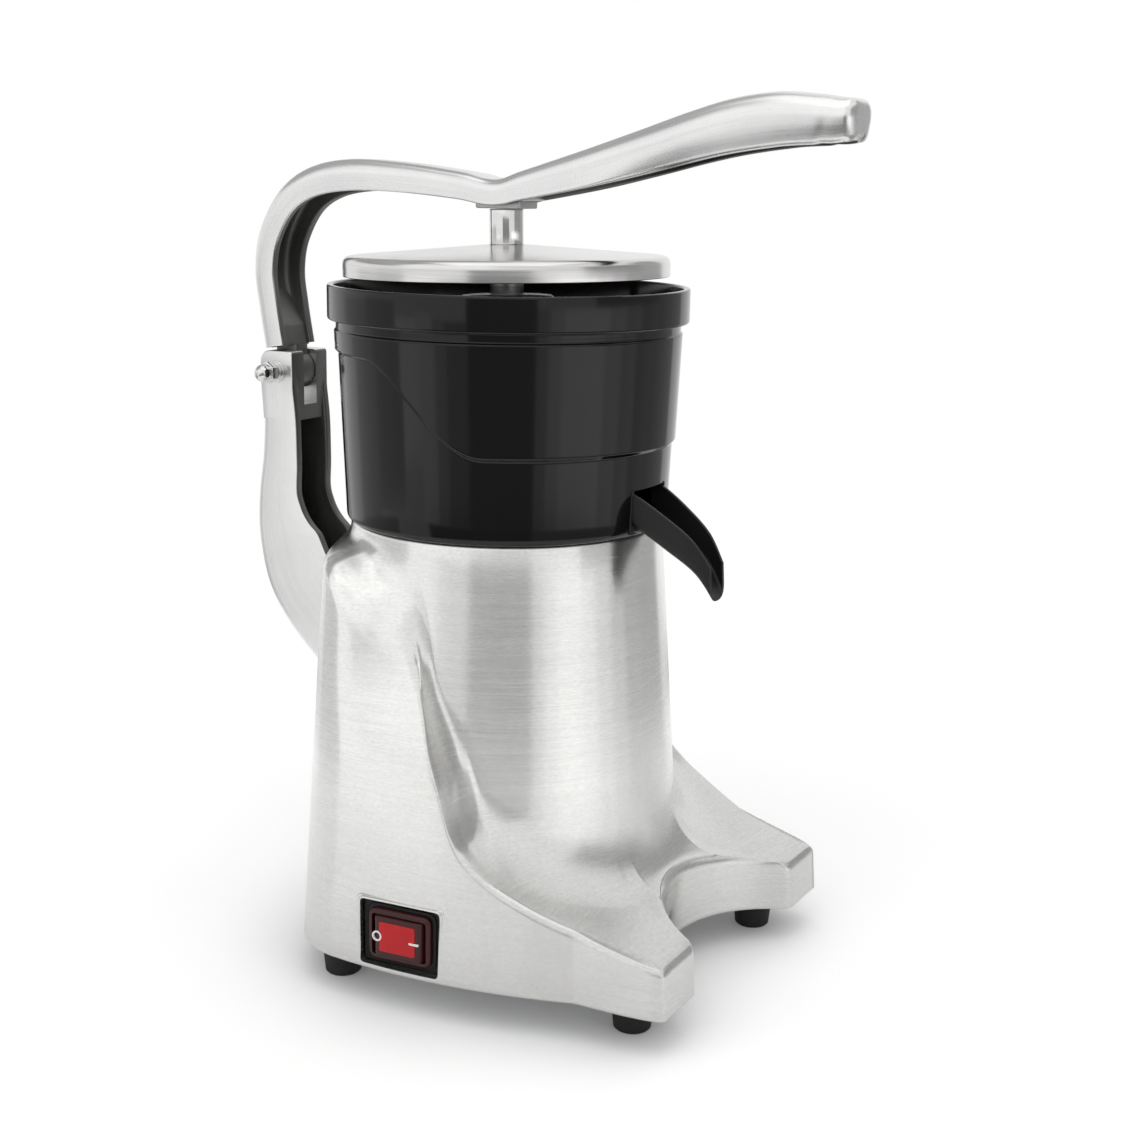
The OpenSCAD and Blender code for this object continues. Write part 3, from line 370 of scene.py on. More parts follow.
def ray_circle(bearing, cx, cy, r):
    """Distance from the drive axis to a circle, on a bearing to the left."""
    q = -np.sin(bearing) * cx - np.cos(bearing) * cy
    return q + np.sqrt(q * q - cx * cx - cy * cy + r * r)


def side_r(bearing):
    """Distance of the bowed side wall from the drive axis, at the foot."""
    return ray_circle(bearing, SIDE_BOW - SIDE_X, SIDE_MIDDLE, SIDE_BOW)


def plan_r(bearing):
    """Distance of the foot outline from the drive axis, side wall blended into the rear wall."""
    side = side_r(bearing)
    rear = ray_circle(bearing, 0, REAR_Y - REAR_BOW, REAR_BOW)
    near = np.maximum(CORNER_BLEND - np.abs(side - rear), 0)
    return np.minimum(side, rear) - near ** 2 / (4 * CORNER_BLEND)


CREST = curve([(y, TOE_Z + z) for y, z in [
    (-160, -3.5), (-138, 0), (-108, 6.8), (-86, 13.9), (-62.6, 24.5), (-51, 32), (-42.5, 39.4),
    (-37, 48.2), (-33.5, 57.4), (-29.3, 71)]] + [(y, TOP_Z - z) for y, z in [
        (-23.4, 96.5), (-17.2, 82.4), (-10, 67), (-2.5, 53), (5, 42), (14, 33.5), (26, 23.5), (37, 14),
        (48, 8), (60, 6), (120, 6)]], 24)


def crest_z(y):
    """Height of the skirt crest above a place along the object."""
    return min(np.interp(y, CREST[:, 0], CREST[:, 1]), CREST_MAX)


def tower_r(z):
    """Radius of the conical motor tower."""
    return TOWER_R + (TOP_Z - z) * TOWER_SLOPE


def waist(y, z):
    """Way by which the side wall closes on the tower below the upper crest."""
    return WAIST * fade(z, *WAIST_RISE) * (1 - fade(y, *WAIST_FRONT))


def skirt_r(r, lean, z):
    """Distance of the side wall from the drive axis, above a foot point at r."""
    plain = r - (z - EDGE_Z) * WALL_SLOPE
    out = plain
    for _ in range(8):
        out = plain - waist(lean * out, z)
    return max(out, tower_r(z) + SKIRT_OFF)


def skirt_top(r, lean):
    """Height at which the side wall meets the crest."""
    z = TOE_Z
    for _ in range(14):
        z = crest_z(lean * skirt_r(r, lean, z))
    return z


def half_plan():
    """Foot outline from the middle of the notch over the left toe and side to the rear."""
    toe = math.radians(28)
    for _ in range(20):
        toe = math.acos(min(TOE_Y / side_r(toe), 1))
    notch = math.acos((NOTCH_C - TOE_Y) / NOTCH_R)
    line = [np.array((-NOTCH_R * math.sin(a), -NOTCH_C + NOTCH_R * math.cos(a)))
            for a in np.linspace(0, notch - NOTCH_EASE, 40)]
    inner = np.array((-NOTCH_R * math.sin(notch), -TOE_Y))
    outer = np.array((-side_r(toe) * math.sin(toe), -TOE_Y))
    line += bend(line[-1], inner, inner - (TOE_INSIDE, 0), 6)[1:]
    line += list(np.linspace(line[-1], outer + (TOE_OUTSIDE, 0), 5)[1:])
    after = toe + TOE_TURN
    line += bend(line[-1], outer, np.array(polar(side_r(after), -after)), 8)[1:]
    stops = np.radians((math.degrees(after), 60, 128, 180))
    bearings = np.interp(np.linspace(0, 1, 260), (0, 0.2, 0.75, 1), stops)
    return np.array(line + [polar(plan_r(b), -b) for b in bearings[1:]])


def full_plan():
    """Foot outline all the way round, the right half mirrored from the left."""
    half = half_plan()
    return np.concatenate([half, half[-2:0:-1] * (-1, 1)])


def drawn_in(plan, inset):
    """Outline moved towards the drive axis."""
    reach = np.linalg.norm(plan, axis=1)[:, None]
    return plan * (reach - inset) / reach


def rising_profile(p):
    """Radius and height pairs of the housing skin above one point of the foot outline.

    Low down the crest is an edge with a hollow behind it. Higher up the wall flows into the tower.
    """
    r = math.hypot(*p)
    lean = p[1] / r
    ze = skirt_top(r, lean)
    re, rt = skirt_r(r, lean, ze), tower_r(ze)
    drop = EDGE_SOFT + CREST_ROUND * (fade(ze, *ROUND_RISE) - 0.5 * fade(ze, *ROUND_FALL))
    soft = min(drop, 0.55 * (re - rt))
    hollow = COVE + (COVE_UP - COVE) * fade(ze, *COVE_RISE)
    ra, rb = re - soft, rt + min(hollow, 0.98 * (re - rt - soft))
    heights = [ze]
    for radius in (ra, rb, rt):
        heights.append(min(at_least(crest_z(lean * radius), heights[-1]), CREST_MAX))
    za, zb, zt = heights[1:]
    share = FLOW_SHARE * fade(ze, *FLOW_RISE)
    room = TOP_Z - FLOW_ROOM - zt
    top = zt + (1 - share) * min(1.1 * hollow, 0.8 * room) + share * 0.96 * room
    foot, above = [np.array((skirt_r(r, lean, z), z)) for z in (ze - drop, ze - drop + 1)]
    deck, begin, end = np.array((ra, za)), np.array((rb, zb)), np.array((tower_r(top), top))
    edge = bend(foot, np.array((re, ze)), deck, 11)[1:] + bend(deck, (deck + begin) / 2, begin, 4)[1:]
    edge = np.array(edge + bend(begin, np.array((rt, zt)), end, 17)[1:])
    rise = FLOW_HANDLE * (top - foot[1])
    leave, arrive = foot + rise * (above - foot), end - rise * np.array((-TOWER_SLOPE, 1))
    flow = cubic(foot, leave, arrive, end, len(edge))
    arc = [(EDGE_R * (1 - math.cos(a)), EDGE_R * (1 - math.sin(a))) for a in np.linspace(0, QUARTER, 4)]
    line = [(r - v, EDGE_Z + u) for u, v in arc]
    line += [(skirt_r(r, lean, z), z) for z in np.linspace(EDGE_Z + EDGE_R, foot[1], 22)[1:]]
    line += list((1 - share) * edge + share * flow)
    line += [(tower_r(z), z) for z in np.linspace(top, TOP_Z - EDGE_R, 9)[1:]]
    return line + [(TOWER_R - u, TOP_Z - v) for u, v in arc[1:]]


def housing_skin():
    """Loft of the rising profiles, closed below and above."""
    plan = full_plan()
    rows = [rising_profile(p) for p in plan]
    m, n = len(rows[0]), len(plan)
    way = plan / np.linalg.norm(plan, axis=1)[:, None]
    points = [(x * r, y * r, z) for (x, y), row in zip(way, rows) for r, z in row]
    points += [(0, 0, EDGE_Z), (0, 0, TOP_Z)]
    faces = ring_faces(n, m, closed_rows=False)
    faces += [(n * m, ((j + 1) % n) * m, j * m) for j in range(n)]
    faces += [(n * m + 1, j * m + m - 1, ((j + 1) % n) * m + m - 1) for j in range(n)]
    return new_piece("housing_skin", points, faces)


# Swept castings

def channel_section(depth, w, floor, wall, corner, lip, full):
    """U-shaped outline; full tells how far it has grown into the rounder handle."""
    r, out = min(corner + SWELL_ROUND * full, 0.75 * depth, w - 0.4), lip + SWELL_LIP * full
    inner = min(corner * 0.5, (depth - floor) * 0.8)
    section = rounded([
        (-w, depth, out), (-w, 0, r), (w, 0, r), (w, depth, out), (w - wall, depth, lip),
        (w - wall, floor, inner), (wall - w, floor, inner), (wall - w, depth, lip)], 8)
    below = np.clip(section[:, 1] / depth / 0.55 - 0.8, 0, 1)
    section[:, 0] -= np.sign(section[:, 0]) * SWELL_TUCK * full * below ** 2
    return section


def stood(section, y, z, d):
    """Section carried to a place, with its depth along d."""
    return np.column_stack([section[:, 0], y + d[0] * section[:, 1], z + d[1] * section[:, 1]])


def way_round(column):
    """Lengths along a closed outline, from its first point back to it."""
    steps = np.diff(np.vstack([column, column[:1]]), axis=0)
    return np.concatenate([[0], np.cumsum(np.linalg.norm(steps, axis=1))])


def channel(name, knots, steps, web, wall, corner, lip=1.2, up=None, fill=None, swell=None, nose=None):
    """U-shaped casting swept along knots of place along Y, height, depth and half width.

    Its map holds the way along and the way round in metres, with 1 added to the latter inside the U.
    """
    line = curve(knots, steps)
    way = np.gradient(line[:, :2], axis=0)
    way /= np.linalg.norm(way, axis=1)[:, None]
    run = np.concatenate([[0], np.cumsum(np.linalg.norm(np.diff(line[:, :2], axis=0), axis=1))])
    columns = []
    for (y, z, depth, w), (along_y, along_z) in zip(line, way):
        floor = min(max(web, fill(y, depth) if fill else 0), depth - LEAST_LIP)
        section = channel_section(depth, w, floor, wall, corner, lip, swell(y) if swell else 0)
        d = up or (-along_z, along_y)
        columns.append(stood(section, y, z, d))
    if nose:
        middle, half = np.array((0, depth / 2)), np.array((w, depth / 2))
        for a in np.linspace(0, QUARTER, 9)[1:]:
            small = middle + (section - middle) * (1 - np.array(nose) * (1 - math.cos(a)) / half)
            ahead = way[-1] * nose[1] * math.sin(a)
            columns.append(stood(small, y + ahead[0], z + ahead[1], d))
            run = np.append(run, run[-1] + nose[1] / 8)
    m, n = len(columns[0]), len(columns)
    around = way_round(columns[0])
    faces, uv = ring_faces(n, m, closed_columns=False), []
    for j in range(n - 1):
        for i in range(m):
            inside = i >= m // 2 - 1 and j < len(line) - 1
            low, high = around[i:i + 2] + (1000 if inside else 0)
            uv += [(run[j], low), (run[j + 1], low), (run[j + 1], high), (run[j], high)]
    for j, order in ((0, 1), (n - 1, -1)):
        faces.append(tuple(range(j * m, j * m + m))[::order])
        uv += [(run[j], around[i]) for i in range(m)][::order]
    return new_piece(name, np.concatenate(columns), faces, np.array(uv) / 1000)


# Node trees

SOCKETS = {int: "NodeSocketInt", float: "NodeSocketFloat", tuple: "NodeSocketVector"}


class Graph:
    """Short way to add nodes and join their sockets."""

    def __init__(self, tree):
        self.tree = tree

    def add(self, kind, inputs=None, **settings):
        node = self.tree.nodes.new(kind)
        for key, value in settings.items():
            setattr(node, key, value)
        for key, value in (inputs or {}).items():
            if isinstance(value, bpy.types.NodeSocket):
                self.tree.links.new(value, node.inputs[key])
            else:
                node.inputs[key].default_value = value
        return node

    def math(self, operation, a, b=0.0, c=0.0):
        return self.add("ShaderNodeMath", {0: a, 1: b, 2: c}, operation=operation).outputs[0]

    def sway(self, value, share, onto):
        """Adds a share of a noise value, counted from its middle."""
        return self.math("MULTIPLY_ADD", self.math("SUBTRACT", value, 0.5), share, onto)

    def vector(self, operation, a, b=(0, 0, 0)):
        return self.add("ShaderNodeVectorMath", {0: a, 1: b}, operation=operation).outputs[0]

    def split(self, vector):
        return self.add("ShaderNodeSeparateXYZ", {0: vector}).outputs

    def join(self, x=0.0, y=0.0, z=0.0):
        return self.add("ShaderNodeCombineXYZ", {0: x, 1: y, 2: z}).outputs[0]

    def noise(self, vector, scale, detail=2.0, rough=0.5):
        return self.add("ShaderNodeTexNoise", {
            "Vector": vector, "Scale": scale, "Detail": detail, "Roughness": rough}).outputs["Fac"]

    def spread(self, value, low, high, to_low=0.0, to_high=1.0, **settings):
        return self.add("ShaderNodeMapRange", {
            "Value": value, "From Min": low, "From Max": high, "To Min": to_low, "To Max": to_high},
            **settings).outputs["Result"]

    def tint(self, factor, dark, light):
        ramp = self.add("ShaderNodeValToRGB", {"Fac": factor})
        ramp.color_ramp.elements[0].color = (*dark, 1)
        ramp.color_ramp.elements[1].color = (*light, 1)
        return ramp.outputs["Color"]

    def cylinder(self, sides, radius, depth):
        return self.add("GeometryNodeMeshCylinder", {
            "Vertices": sides, "Radius": radius, "Depth": depth}).outputs[0]

    def cone(self, sides, top, bottom, depth):
        return self.add("GeometryNodeMeshCone", {
            "Vertices": sides, "Radius Top": top, "Radius Bottom": bottom, "Depth": depth}).outputs[0]

    def box(self, x, y, z):
        return self.add("GeometryNodeMeshCube", {"Size": self.join(x, y, z)}).outputs[0]

    def move(self, geometry, **way):
        return self.add("GeometryNodeTransform", {
            "Geometry": geometry, "Translation": self.join(**way)}).outputs[0]

    def cut(self, mesh, tool):
        return self.add("GeometryNodeMeshBoolean", {"Mesh 1": mesh, "Mesh 2": tool},
                        operation="DIFFERENCE", solver="MANIFOLD").outputs["Mesh"]

    def fuse(self, *meshes):
        whole = self.add("GeometryNodeMeshBoolean", operation="UNION", solver="MANIFOLD")
        for mesh in meshes:
            self.tree.links.new(mesh, whole.inputs["Mesh 2"])
        return whole.outputs["Mesh"]

    def on_points(self, points, shape, turn=(0, 0, 0)):
        return self.add("GeometryNodeInstanceOnPoints", {
            "Points": points, "Instance": shape, "Rotation": turn}).outputs[0]

    def real(self, instances):
        return self.add("GeometryNodeRealizeInstances", {0: instances}).outputs[0]


def clear_graph(owner):
    """Empty node tree of a material or a world."""
    owner.use_nodes = True
    owner.node_tree.nodes.clear()
    return Graph(owner.node_tree)


def new_inputs(tree, values):
    """Named sockets with their first values; gives the identifier of each."""
    names = {}
    for label, value in values.items():
        socket = tree.interface.new_socket(label, in_out="INPUT", socket_type=SOCKETS[type(value)])
        socket.default_value = value
        names[label] = socket.identifier
    return names


# Effects that several finishes share

def effect(name, values, outputs, build):
    """Shader node group with a vector and named values."""
    group = bpy.data.node_groups.new(name, "ShaderNodeTree")
    new_inputs(group, {"Vector": (0, 0, 0), **values})
    for label in outputs:
        group.interface.new_socket(label, in_out="OUTPUT", socket_type="NodeSocketFloat")
    graph = Graph(group)
    made = build(graph, graph.add("NodeGroupInput").outputs)
    graph.add("NodeGroupOutput", {label: made[label] for label in outputs})
    return group


def build_brush(g, at):
    """Fine marks that run along the second axis, with a slow change in their strength."""
    fine = g.noise(g.vector("MULTIPLY", at["Vector"], (1.0, 0.012, 1.0)), at["Fineness"], 3.0, 0.65)
    broad = g.noise(g.vector("MULTIPLY", at["Vector"], (1.0, 0.05, 1.0)),
                    g.math("MULTIPLY", at["Fineness"], 0.16))
    strength = g.spread(g.noise(at["Vector"], at["Patches"]), 0.3, 0.7, 0.35, 1.0)
    mark = g.math("SUBTRACT", g.sway(broad, 0.5, fine), 0.5)
    return {"Mark": g.math("MULTIPLY_ADD", mark, strength, 0.5)}


def build_cast(g, at):
    """Cloudy skin of a sanded casting and the few pores left in it."""
    pore = g.noise(at["Vector"], at["Pore Scale"], 1.0)
    return {"Cloud": g.noise(at["Vector"], at["Cloud Scale"], 4.0, 0.6), "Pore": g.spread(pore, 0.7, 0.78)}


def build_handling(g, at):
    """Wiped smears and dust specks left by handling."""
    wiped = g.vector("MULTIPLY", at["Vector"], (1.0, 1.0, 0.45))
    speck = g.noise(at["Vector"], at["Speck Scale"], 0.0)
    return {"Smear": g.noise(wiped, at["Smear Scale"], 3.0, 0.55), "Speck": g.spread(speck, 0.74, 0.8)}


def build_grain(g, at):
    """Fine moulded texture."""
    cell = g.add("ShaderNodeTexVoronoi", {"Vector": at["Vector"], "Scale": at["Grain Scale"]})
    soft = g.noise(at["Vector"], g.math("MULTIPLY", at["Grain Scale"], 0.5))
    return {"Grain": g.math("MULTIPLY_ADD", cell.outputs["Distance"], 0.6, soft)}


BRUSH = effect("brush_marks", {"Fineness": 900.0, "Patches": 14.0}, ["Mark"], build_brush)
CAST = effect("cast_skin", {"Cloud Scale": 30.0, "Pore Scale": 700.0}, ["Cloud", "Pore"], build_cast)
HANDLING = effect("handling", {"Smear Scale": 16.0, "Speck Scale": 900.0}, ["Smear", "Speck"],
                  build_handling)
GRAIN = effect("moulded_grain", {"Grain Scale": 1800.0}, ["Grain"], build_grain)


# Finishes

def finish(name, build, **fixed):
    """Material with one Principled shader; fixed values sit on its own sockets."""
    material = bpy.data.materials.new(name)
    graph = clear_graph(material)
    made = build(graph, graph.add("ShaderNodeTexCoord").outputs)
    height, strength, distance = made.pop("Height")
    bump = graph.add("ShaderNodeBump", {"Height": height, "Strength": strength, "Distance": distance})
    fixed = {label.replace("_", " "): value for label, value in fixed.items()}
    shader = graph.add("ShaderNodeBsdfPrincipled", {**fixed, **made, "Normal": bump.outputs[0]})
    graph.add("ShaderNodeOutputMaterial", {"Surface": shader.outputs[0]})
    return material


def metal(name, build, **fixed):
    """Finish of bare metal."""
    return finish(name, build, Metallic=1.0, **fixed)


def use(graph, group, vector, **values):
    """Places a shared effect with its own values."""
    node = graph.add("ShaderNodeGroup", node_tree=group)
    graph.tree.links.new(vector, node.inputs["Vector"])
    for key, value in values.items():
        node.inputs[key.replace("_", " ")].default_value = value
    return node.outputs


def own_map(g):
    """Way along and way round of a swept casting."""
    return g.split(g.add("ShaderNodeUVMap", uv_map="along").outputs[0])


def level_marks(g, at):
    """Brushing that runs level round the housing: fine steps over the height."""
    x, y, z = g.split(at["Object"])
    return g.join(z, g.math("ADD", x, y), g.math("MULTIPLY", x, 0.02))


def lengthwise_marks(g, at):
    """Brushing along a swept casting, from its own map."""
    along, around, _ = own_map(g)
    return g.join(around, along)


def circle_marks(centre):
    """Brushing in circles about a vertical axis at a place along Y."""
    def build(g, at):
        x, y, z = g.split(g.vector("SUBTRACT", at["Object"], (0, centre, 0)))
        radius = g.add("ShaderNodeVectorMath", {0: g.join(x, y)}, operation="LENGTH").outputs["Value"]
        return g.join(g.math("ADD", radius, z), x, g.math("MULTIPLY", y, 0.012))
    return build


def sanded(marks, fine, dark, light, rough, bump, raw_and_shade=None, foot=None, grit=0.0):
    """Builder of a sanded aluminium finish; marks turns the coordinates along the brushing.

    With raw and shade colours, the inside of a swept casting stays rough as it came from the mould,
    and its colour is painted dark there as shade in the hollow of the U. With a foot share, the colour
    is painted that much darker towards the table, as painted shade low on the wall. Grit adds the
    short marks of the last sanding.
    """
    def build(g, at):
        lines = use(g, BRUSH, marks(g, at), Fineness=fine, Patches=9.0)
        skin = use(g, CAST, at["Object"], Cloud_Scale=26.0, Pore_Scale=620.0)
        hands = use(g, HANDLING, at["Object"], Smear_Scale=11.0)
        tone = g.math("MULTIPLY_ADD", skin["Pore"], -0.3, g.sway(skin["Cloud"], 0.55, lines["Mark"]))
        if grit:
            short = g.noise(g.vector("MULTIPLY", at["Object"], (0.45, 0.45, 1.0)), 1100.0)
            tone = g.sway(short, grit, tone)
        tone = g.spread(tone, 0.25, 0.75)
        colour = g.tint(tone, dark, light)
        # Painted shade: the colour grows darker towards the table by the foot share.
        if foot:
            left = g.spread(g.split(at["Object"])[2], 0.02, 0.11, foot, 1.0)
            scaled = g.add("ShaderNodeVectorMath", {0: colour, "Scale": left}, operation="SCALE")
            colour = scaled.outputs["Vector"]
        coarse = g.spread(g.sway(hands["Smear"], 0.7, lines["Mark"]), 0.2, 0.8, *rough)
        # Painted shade: inside the U the colour is darker, and the casting is rougher as left from the
        # mould.
        if raw_and_shade:
            inside = g.math("GREATER_THAN", own_map(g)[1], 0.5)
            mixed = g.add("ShaderNodeMix", {0: inside, 6: colour, 7: g.tint(tone, *raw_and_shade)}, data_type="RGBA")
            colour = mixed.outputs[2]
            coarse = g.math("MULTIPLY_ADD", inside, 0.25, coarse)
        relief = g.math("MULTIPLY_ADD", skin["Pore"], -0.8, lines["Mark"])
        return {"Base Color": colour, "Roughness": coarse, "Height": (relief, bump, 0.0004)}
    return build


def steel(marks, fine, dark, light, rough, bump):
    """Builder of a brushed steel finish."""
    def build(g, at):
        lines = use(g, BRUSH, marks(g, at), Fineness=fine, Patches=12.0)
        hands = use(g, HANDLING, at["Object"], Smear_Scale=18.0)
        return {"Base Color": g.tint(g.spread(lines["Mark"], 0.25, 0.75), dark, light),
                "Roughness": g.spread(g.sway(hands["Smear"], 0.6, lines["Mark"]), 0.2, 0.8, *rough),
                "Height": (lines["Mark"], bump, 0.0003)}
    return build


def moulded(dark, light, rough, grain, bump):
    """Builder of a moulded plastic or rubber finish."""
    def build(g, at):
        skin = use(g, GRAIN, at["Object"], Grain_Scale=grain)
        hands = use(g, HANDLING, at["Object"], Smear_Scale=14.0)
        tone = g.math("MULTIPLY_ADD", hands["Speck"], 0.5, hands["Smear"])
        return {"Base Color": g.tint(g.spread(tone, 0.25, 0.8), dark, light),
                "Roughness": g.spread(hands["Smear"], 0.25, 0.75, *rough),
                "Height": (skin["Grain"], bump, 0.0002)}
    return build


def bands(g, at, scale, distortion=0.0):
    """Level bands, one above the other."""
    return g.add("ShaderNodeTexWave", {"Vector": at["Object"], "Scale": scale, "Distortion": distortion},
                 bands_direction="Z").outputs["Fac"]


def wound(g, at):
    """Varnished copper wire: fine turns over a darker gap."""
    wave = bands(g, at, 300.0, 2.0)
    return {"Base Color": g.tint(wave, (0.2, 0.07, 0.025), (0.66, 0.3, 0.12)),
            "Roughness": g.spread(wave, 0, 1, 0.5, 0.25), "Height": (wave, 0.4, 0.0004)}


def stacked(g, at):
    """Edges of stacked sheets with a little rust."""
    skin = use(g, CAST, at["Object"], Cloud_Scale=60.0)
    return {"Base Color": g.tint(skin["Cloud"], (0.16, 0.13, 0.12), (0.34, 0.35, 0.37)),
            "Roughness": g.spread(skin["Cloud"], 0.3, 0.7, 0.35, 0.6),
            "Height": (bands(g, at, 420.0), 0.3, 0.0003)}


PRESS_CIRCLES = circle_marks(FRAME_AXIS + PRESS_Y / 1000)
# The housing colour holds painted shade towards the table through its foot share.
HOUSING_METAL = metal("housing_metal", sanded(
    level_marks, 2600.0, (0.712, 0.71, 0.697), (0.838, 0.834, 0.818), (0.24, 0.29), 0.003,
    foot=0.74, grit=0.7), Anisotropic=0.85, Anisotropic_Rotation=0.25)
# The lever's inner faces are left rough and painted dark as shade.
LEVER_METAL = metal("lever_metal", sanded(
    lengthwise_marks, 1500.0, (0.68, 0.68, 0.68), (0.82, 0.82, 0.81), (0.2, 0.34), 0.03,
    raw_and_shade=((0.14, 0.14, 0.135), (0.27, 0.27, 0.26))))
ROUGH_CAST = metal("rough_cast", sanded(
    level_marks, 300.0, (0.42, 0.42, 0.42), (0.62, 0.62, 0.62), (0.4, 0.62), 0.12))
CUP_METAL = metal("cup_metal", sanded(
    level_marks, 900.0, (0.5, 0.5, 0.5), (0.66, 0.66, 0.65), (0.16, 0.3), 0.04))
LID_STEEL = metal("lid_steel", steel(
    PRESS_CIRCLES, 1500.0, (0.58, 0.57, 0.56), (0.76, 0.755, 0.75), (0.14, 0.27), 0.05))
ROD_STEEL = metal("rod_steel", steel(
    PRESS_CIRCLES, 2600.0, (0.66, 0.65, 0.64), (0.8, 0.8, 0.79), (0.06, 0.13), 0.02))
DRIVE_STEEL = metal("drive_steel", steel(
    circle_marks(FRAME_AXIS), 1500.0, (0.6, 0.6, 0.6), (0.75, 0.75, 0.75), (0.16, 0.3), 0.04))
BRIGHT_STEEL = metal("bright_steel", steel(
    level_marks, 2200.0, (0.6, 0.6, 0.59), (0.78, 0.78, 0.77), (0.1, 0.2), 0.03))
ZINC = metal("zinc_plate", steel(
    level_marks, 1200.0, (0.5, 0.51, 0.53), (0.66, 0.67, 0.69), (0.28, 0.45), 0.06))
BRONZE = metal("bronze_bush", steel(
    level_marks, 1500.0, (0.45, 0.3, 0.13), (0.62, 0.46, 0.24), (0.2, 0.35), 0.05))
COPPER = metal("copper_wire", wound)
SHEETS = finish("stacked_sheets", stacked, Metallic=0.8)
BOWL_BLACK = finish("bowl_black", moulded(
    (0.0014, 0.0014, 0.0015), (0.0032, 0.0032, 0.0034), (0.08, 0.14), 900.0, 0.01), Specular_IOR_Level=0.36)
SPOUT_BLACK = finish("spout_black", moulded(
    (0.006, 0.006, 0.0065), (0.014, 0.014, 0.015), (0.36, 0.52), 1500.0, 0.12), Specular_IOR_Level=0.35)
PANEL_BLACK = finish("panel_black", moulded(
    (0.003, 0.003, 0.003), (0.008, 0.008, 0.008), (0.45, 0.62), 2200.0, 0.15), Specular_IOR_Level=0.3)
FOOT_RUBBER = finish("foot_rubber", moulded(
    (0.008, 0.008, 0.008), (0.022, 0.022, 0.022), (0.6, 0.8), 1300.0, 0.3), Specular_IOR_Level=0.3)
BOOT_RED = finish("boot_red", moulded(
    (0.03, 0.0035, 0.0035), (0.055, 0.008, 0.008), (0.26, 0.4), 1600.0, 0.05), Specular_IOR_Level=0.35)
WINDOW_RED = finish("window_red", moulded(
    (0.42, 0.006, 0.009), (0.6, 0.015, 0.018), (0.2, 0.34), 1100.0, 0.04), Specular_IOR_Level=0.3)
MARK_WHITE = finish("mark_white", moulded(
    (0.72, 0.72, 0.71), (0.86, 0.86, 0.85), (0.4, 0.55), 1500.0, 0.05))
FOOD_WHITE = finish("food_white", moulded(
    (0.7, 0.68, 0.62), (0.84, 0.83, 0.78), (0.3, 0.45), 1200.0, 0.05))
CAN_GREY = finish("can_grey", moulded(
    (0.58, 0.58, 0.54), (0.74, 0.74, 0.7), (0.4, 0.55), 900.0, 0.05))


# Repeated things, grown by geometry nodes

CUTTER_H = 0.02
HEAD_DOWN = (math.pi, 0, 0)


def grower(name, values, build):
    """Geometry node tree with named sizes; it ends in plain mesh with the finish set."""
    tree = bpy.data.node_groups.new(name, "GeometryNodeTree")
    tree.is_modifier = True
    tree.interface.new_socket("Geometry", in_out="INPUT", socket_type="NodeSocketGeometry")
    names = new_inputs(tree, values)
    coat = tree.interface.new_socket("Finish", in_out="INPUT", socket_type="NodeSocketMaterial")
    names["Finish"] = coat.identifier
    tree.interface.new_socket("Geometry", in_out="OUTPUT", socket_type="NodeSocketGeometry")
    graph = Graph(tree)
    entry = graph.add("NodeGroupInput").outputs
    real = graph.real(build(graph, entry))
    painted = graph.add("GeometryNodeSetMaterial", {"Geometry": real, "Material": entry["Finish"]})
    graph.add("NodeGroupOutput", {0: painted.outputs[0]})
    return tree, names


def grow(name, maker, start, **sizes):
    """Object grown by a tree from start points or from a finished object."""
    tree, names = maker
    piece = start
    if not isinstance(start, bpy.types.Object):
        mesh = bpy.data.meshes.new(name)
        mesh.from_pydata(to_frame(start).tolist(), [], [])
        piece = linked(name, mesh)
    step = piece.modifiers.new("grow", "NODES")
    step.node_group = tree
    for label, value in sizes.items():
        step[names[label.replace("_", " ")]] = value
    return settle(piece)


def build_fastener(g, at):
    """Head with a six-sided socket on a shank; Turn points the head."""
    head = g.cone(at["Sides"], at["Head Top"], at["Head Radius"], at["Head Height"])
    socket = g.cylinder(6, at["Socket Radius"], at["Head Height"])
    socket = g.move(socket, z=g.math("MULTIPLY", at["Head Height"], 0.95))
    shank = g.cylinder(24, at["Shank Radius"], at["Shank Length"])
    shank = g.move(shank, z=g.math("MULTIPLY", at["Shank Length"], -0.5))
    whole = g.add("GeometryNodeJoinGeometry")
    for part in (g.cut(head, socket), shank):
        g.tree.links.new(part, whole.inputs[0])
    return g.on_points(at["Geometry"], whole.outputs[0], at["Turn"])


def build_foot(g, at):
    """Tapered rubber foot with a chamfered tread and a round screw pocket."""
    body = g.move(g.cone(64, at["Upper Radius"], at["Lower Radius"], at["Height"]), z=at["Tread"])
    tread_r = g.math("SUBTRACT", at["Lower Radius"], at["Tread"])
    tread = g.cone(64, at["Lower Radius"], tread_r, at["Tread"])
    pocket = g.cylinder(40, at["Pocket Radius"], at["Pocket Depth"])
    pocket = g.move(pocket, z=g.math("MULTIPLY", at["Pocket Depth"], 0.4))
    return g.on_points(at["Geometry"], g.cut(g.fuse(body, tread), pocket))


def build_slotted(g, at):
    """Ring of radial slots cut through a plate that lies level about the drive axis."""
    ring = g.add("GeometryNodeMeshCircle", {"Vertices": at["Slots"], "Radius": at["Slot Ring"]}).outputs[0]
    middle = g.box(at["Slot Length"], at["Slot Width"], CUTTER_H)
    end = g.cylinder(16, g.math("MULTIPLY", at["Slot Width"], 0.5), CUTTER_H)
    ends = [g.move(end, x=g.math("MULTIPLY", at["Slot Length"], half)) for half in (0.5, -0.5)]
    count = g.add("GeometryNodeInputIndex").outputs[0]
    angle = g.math("DIVIDE", g.math("MULTIPLY", count, 2 * math.pi), at["Slots"])
    cutters = g.real(g.on_points(ring, g.fuse(*ends, middle), g.join(z=angle)))
    return g.cut(at["Geometry"], g.move(cutters, y=at["Axis"], z=at["Level"]))


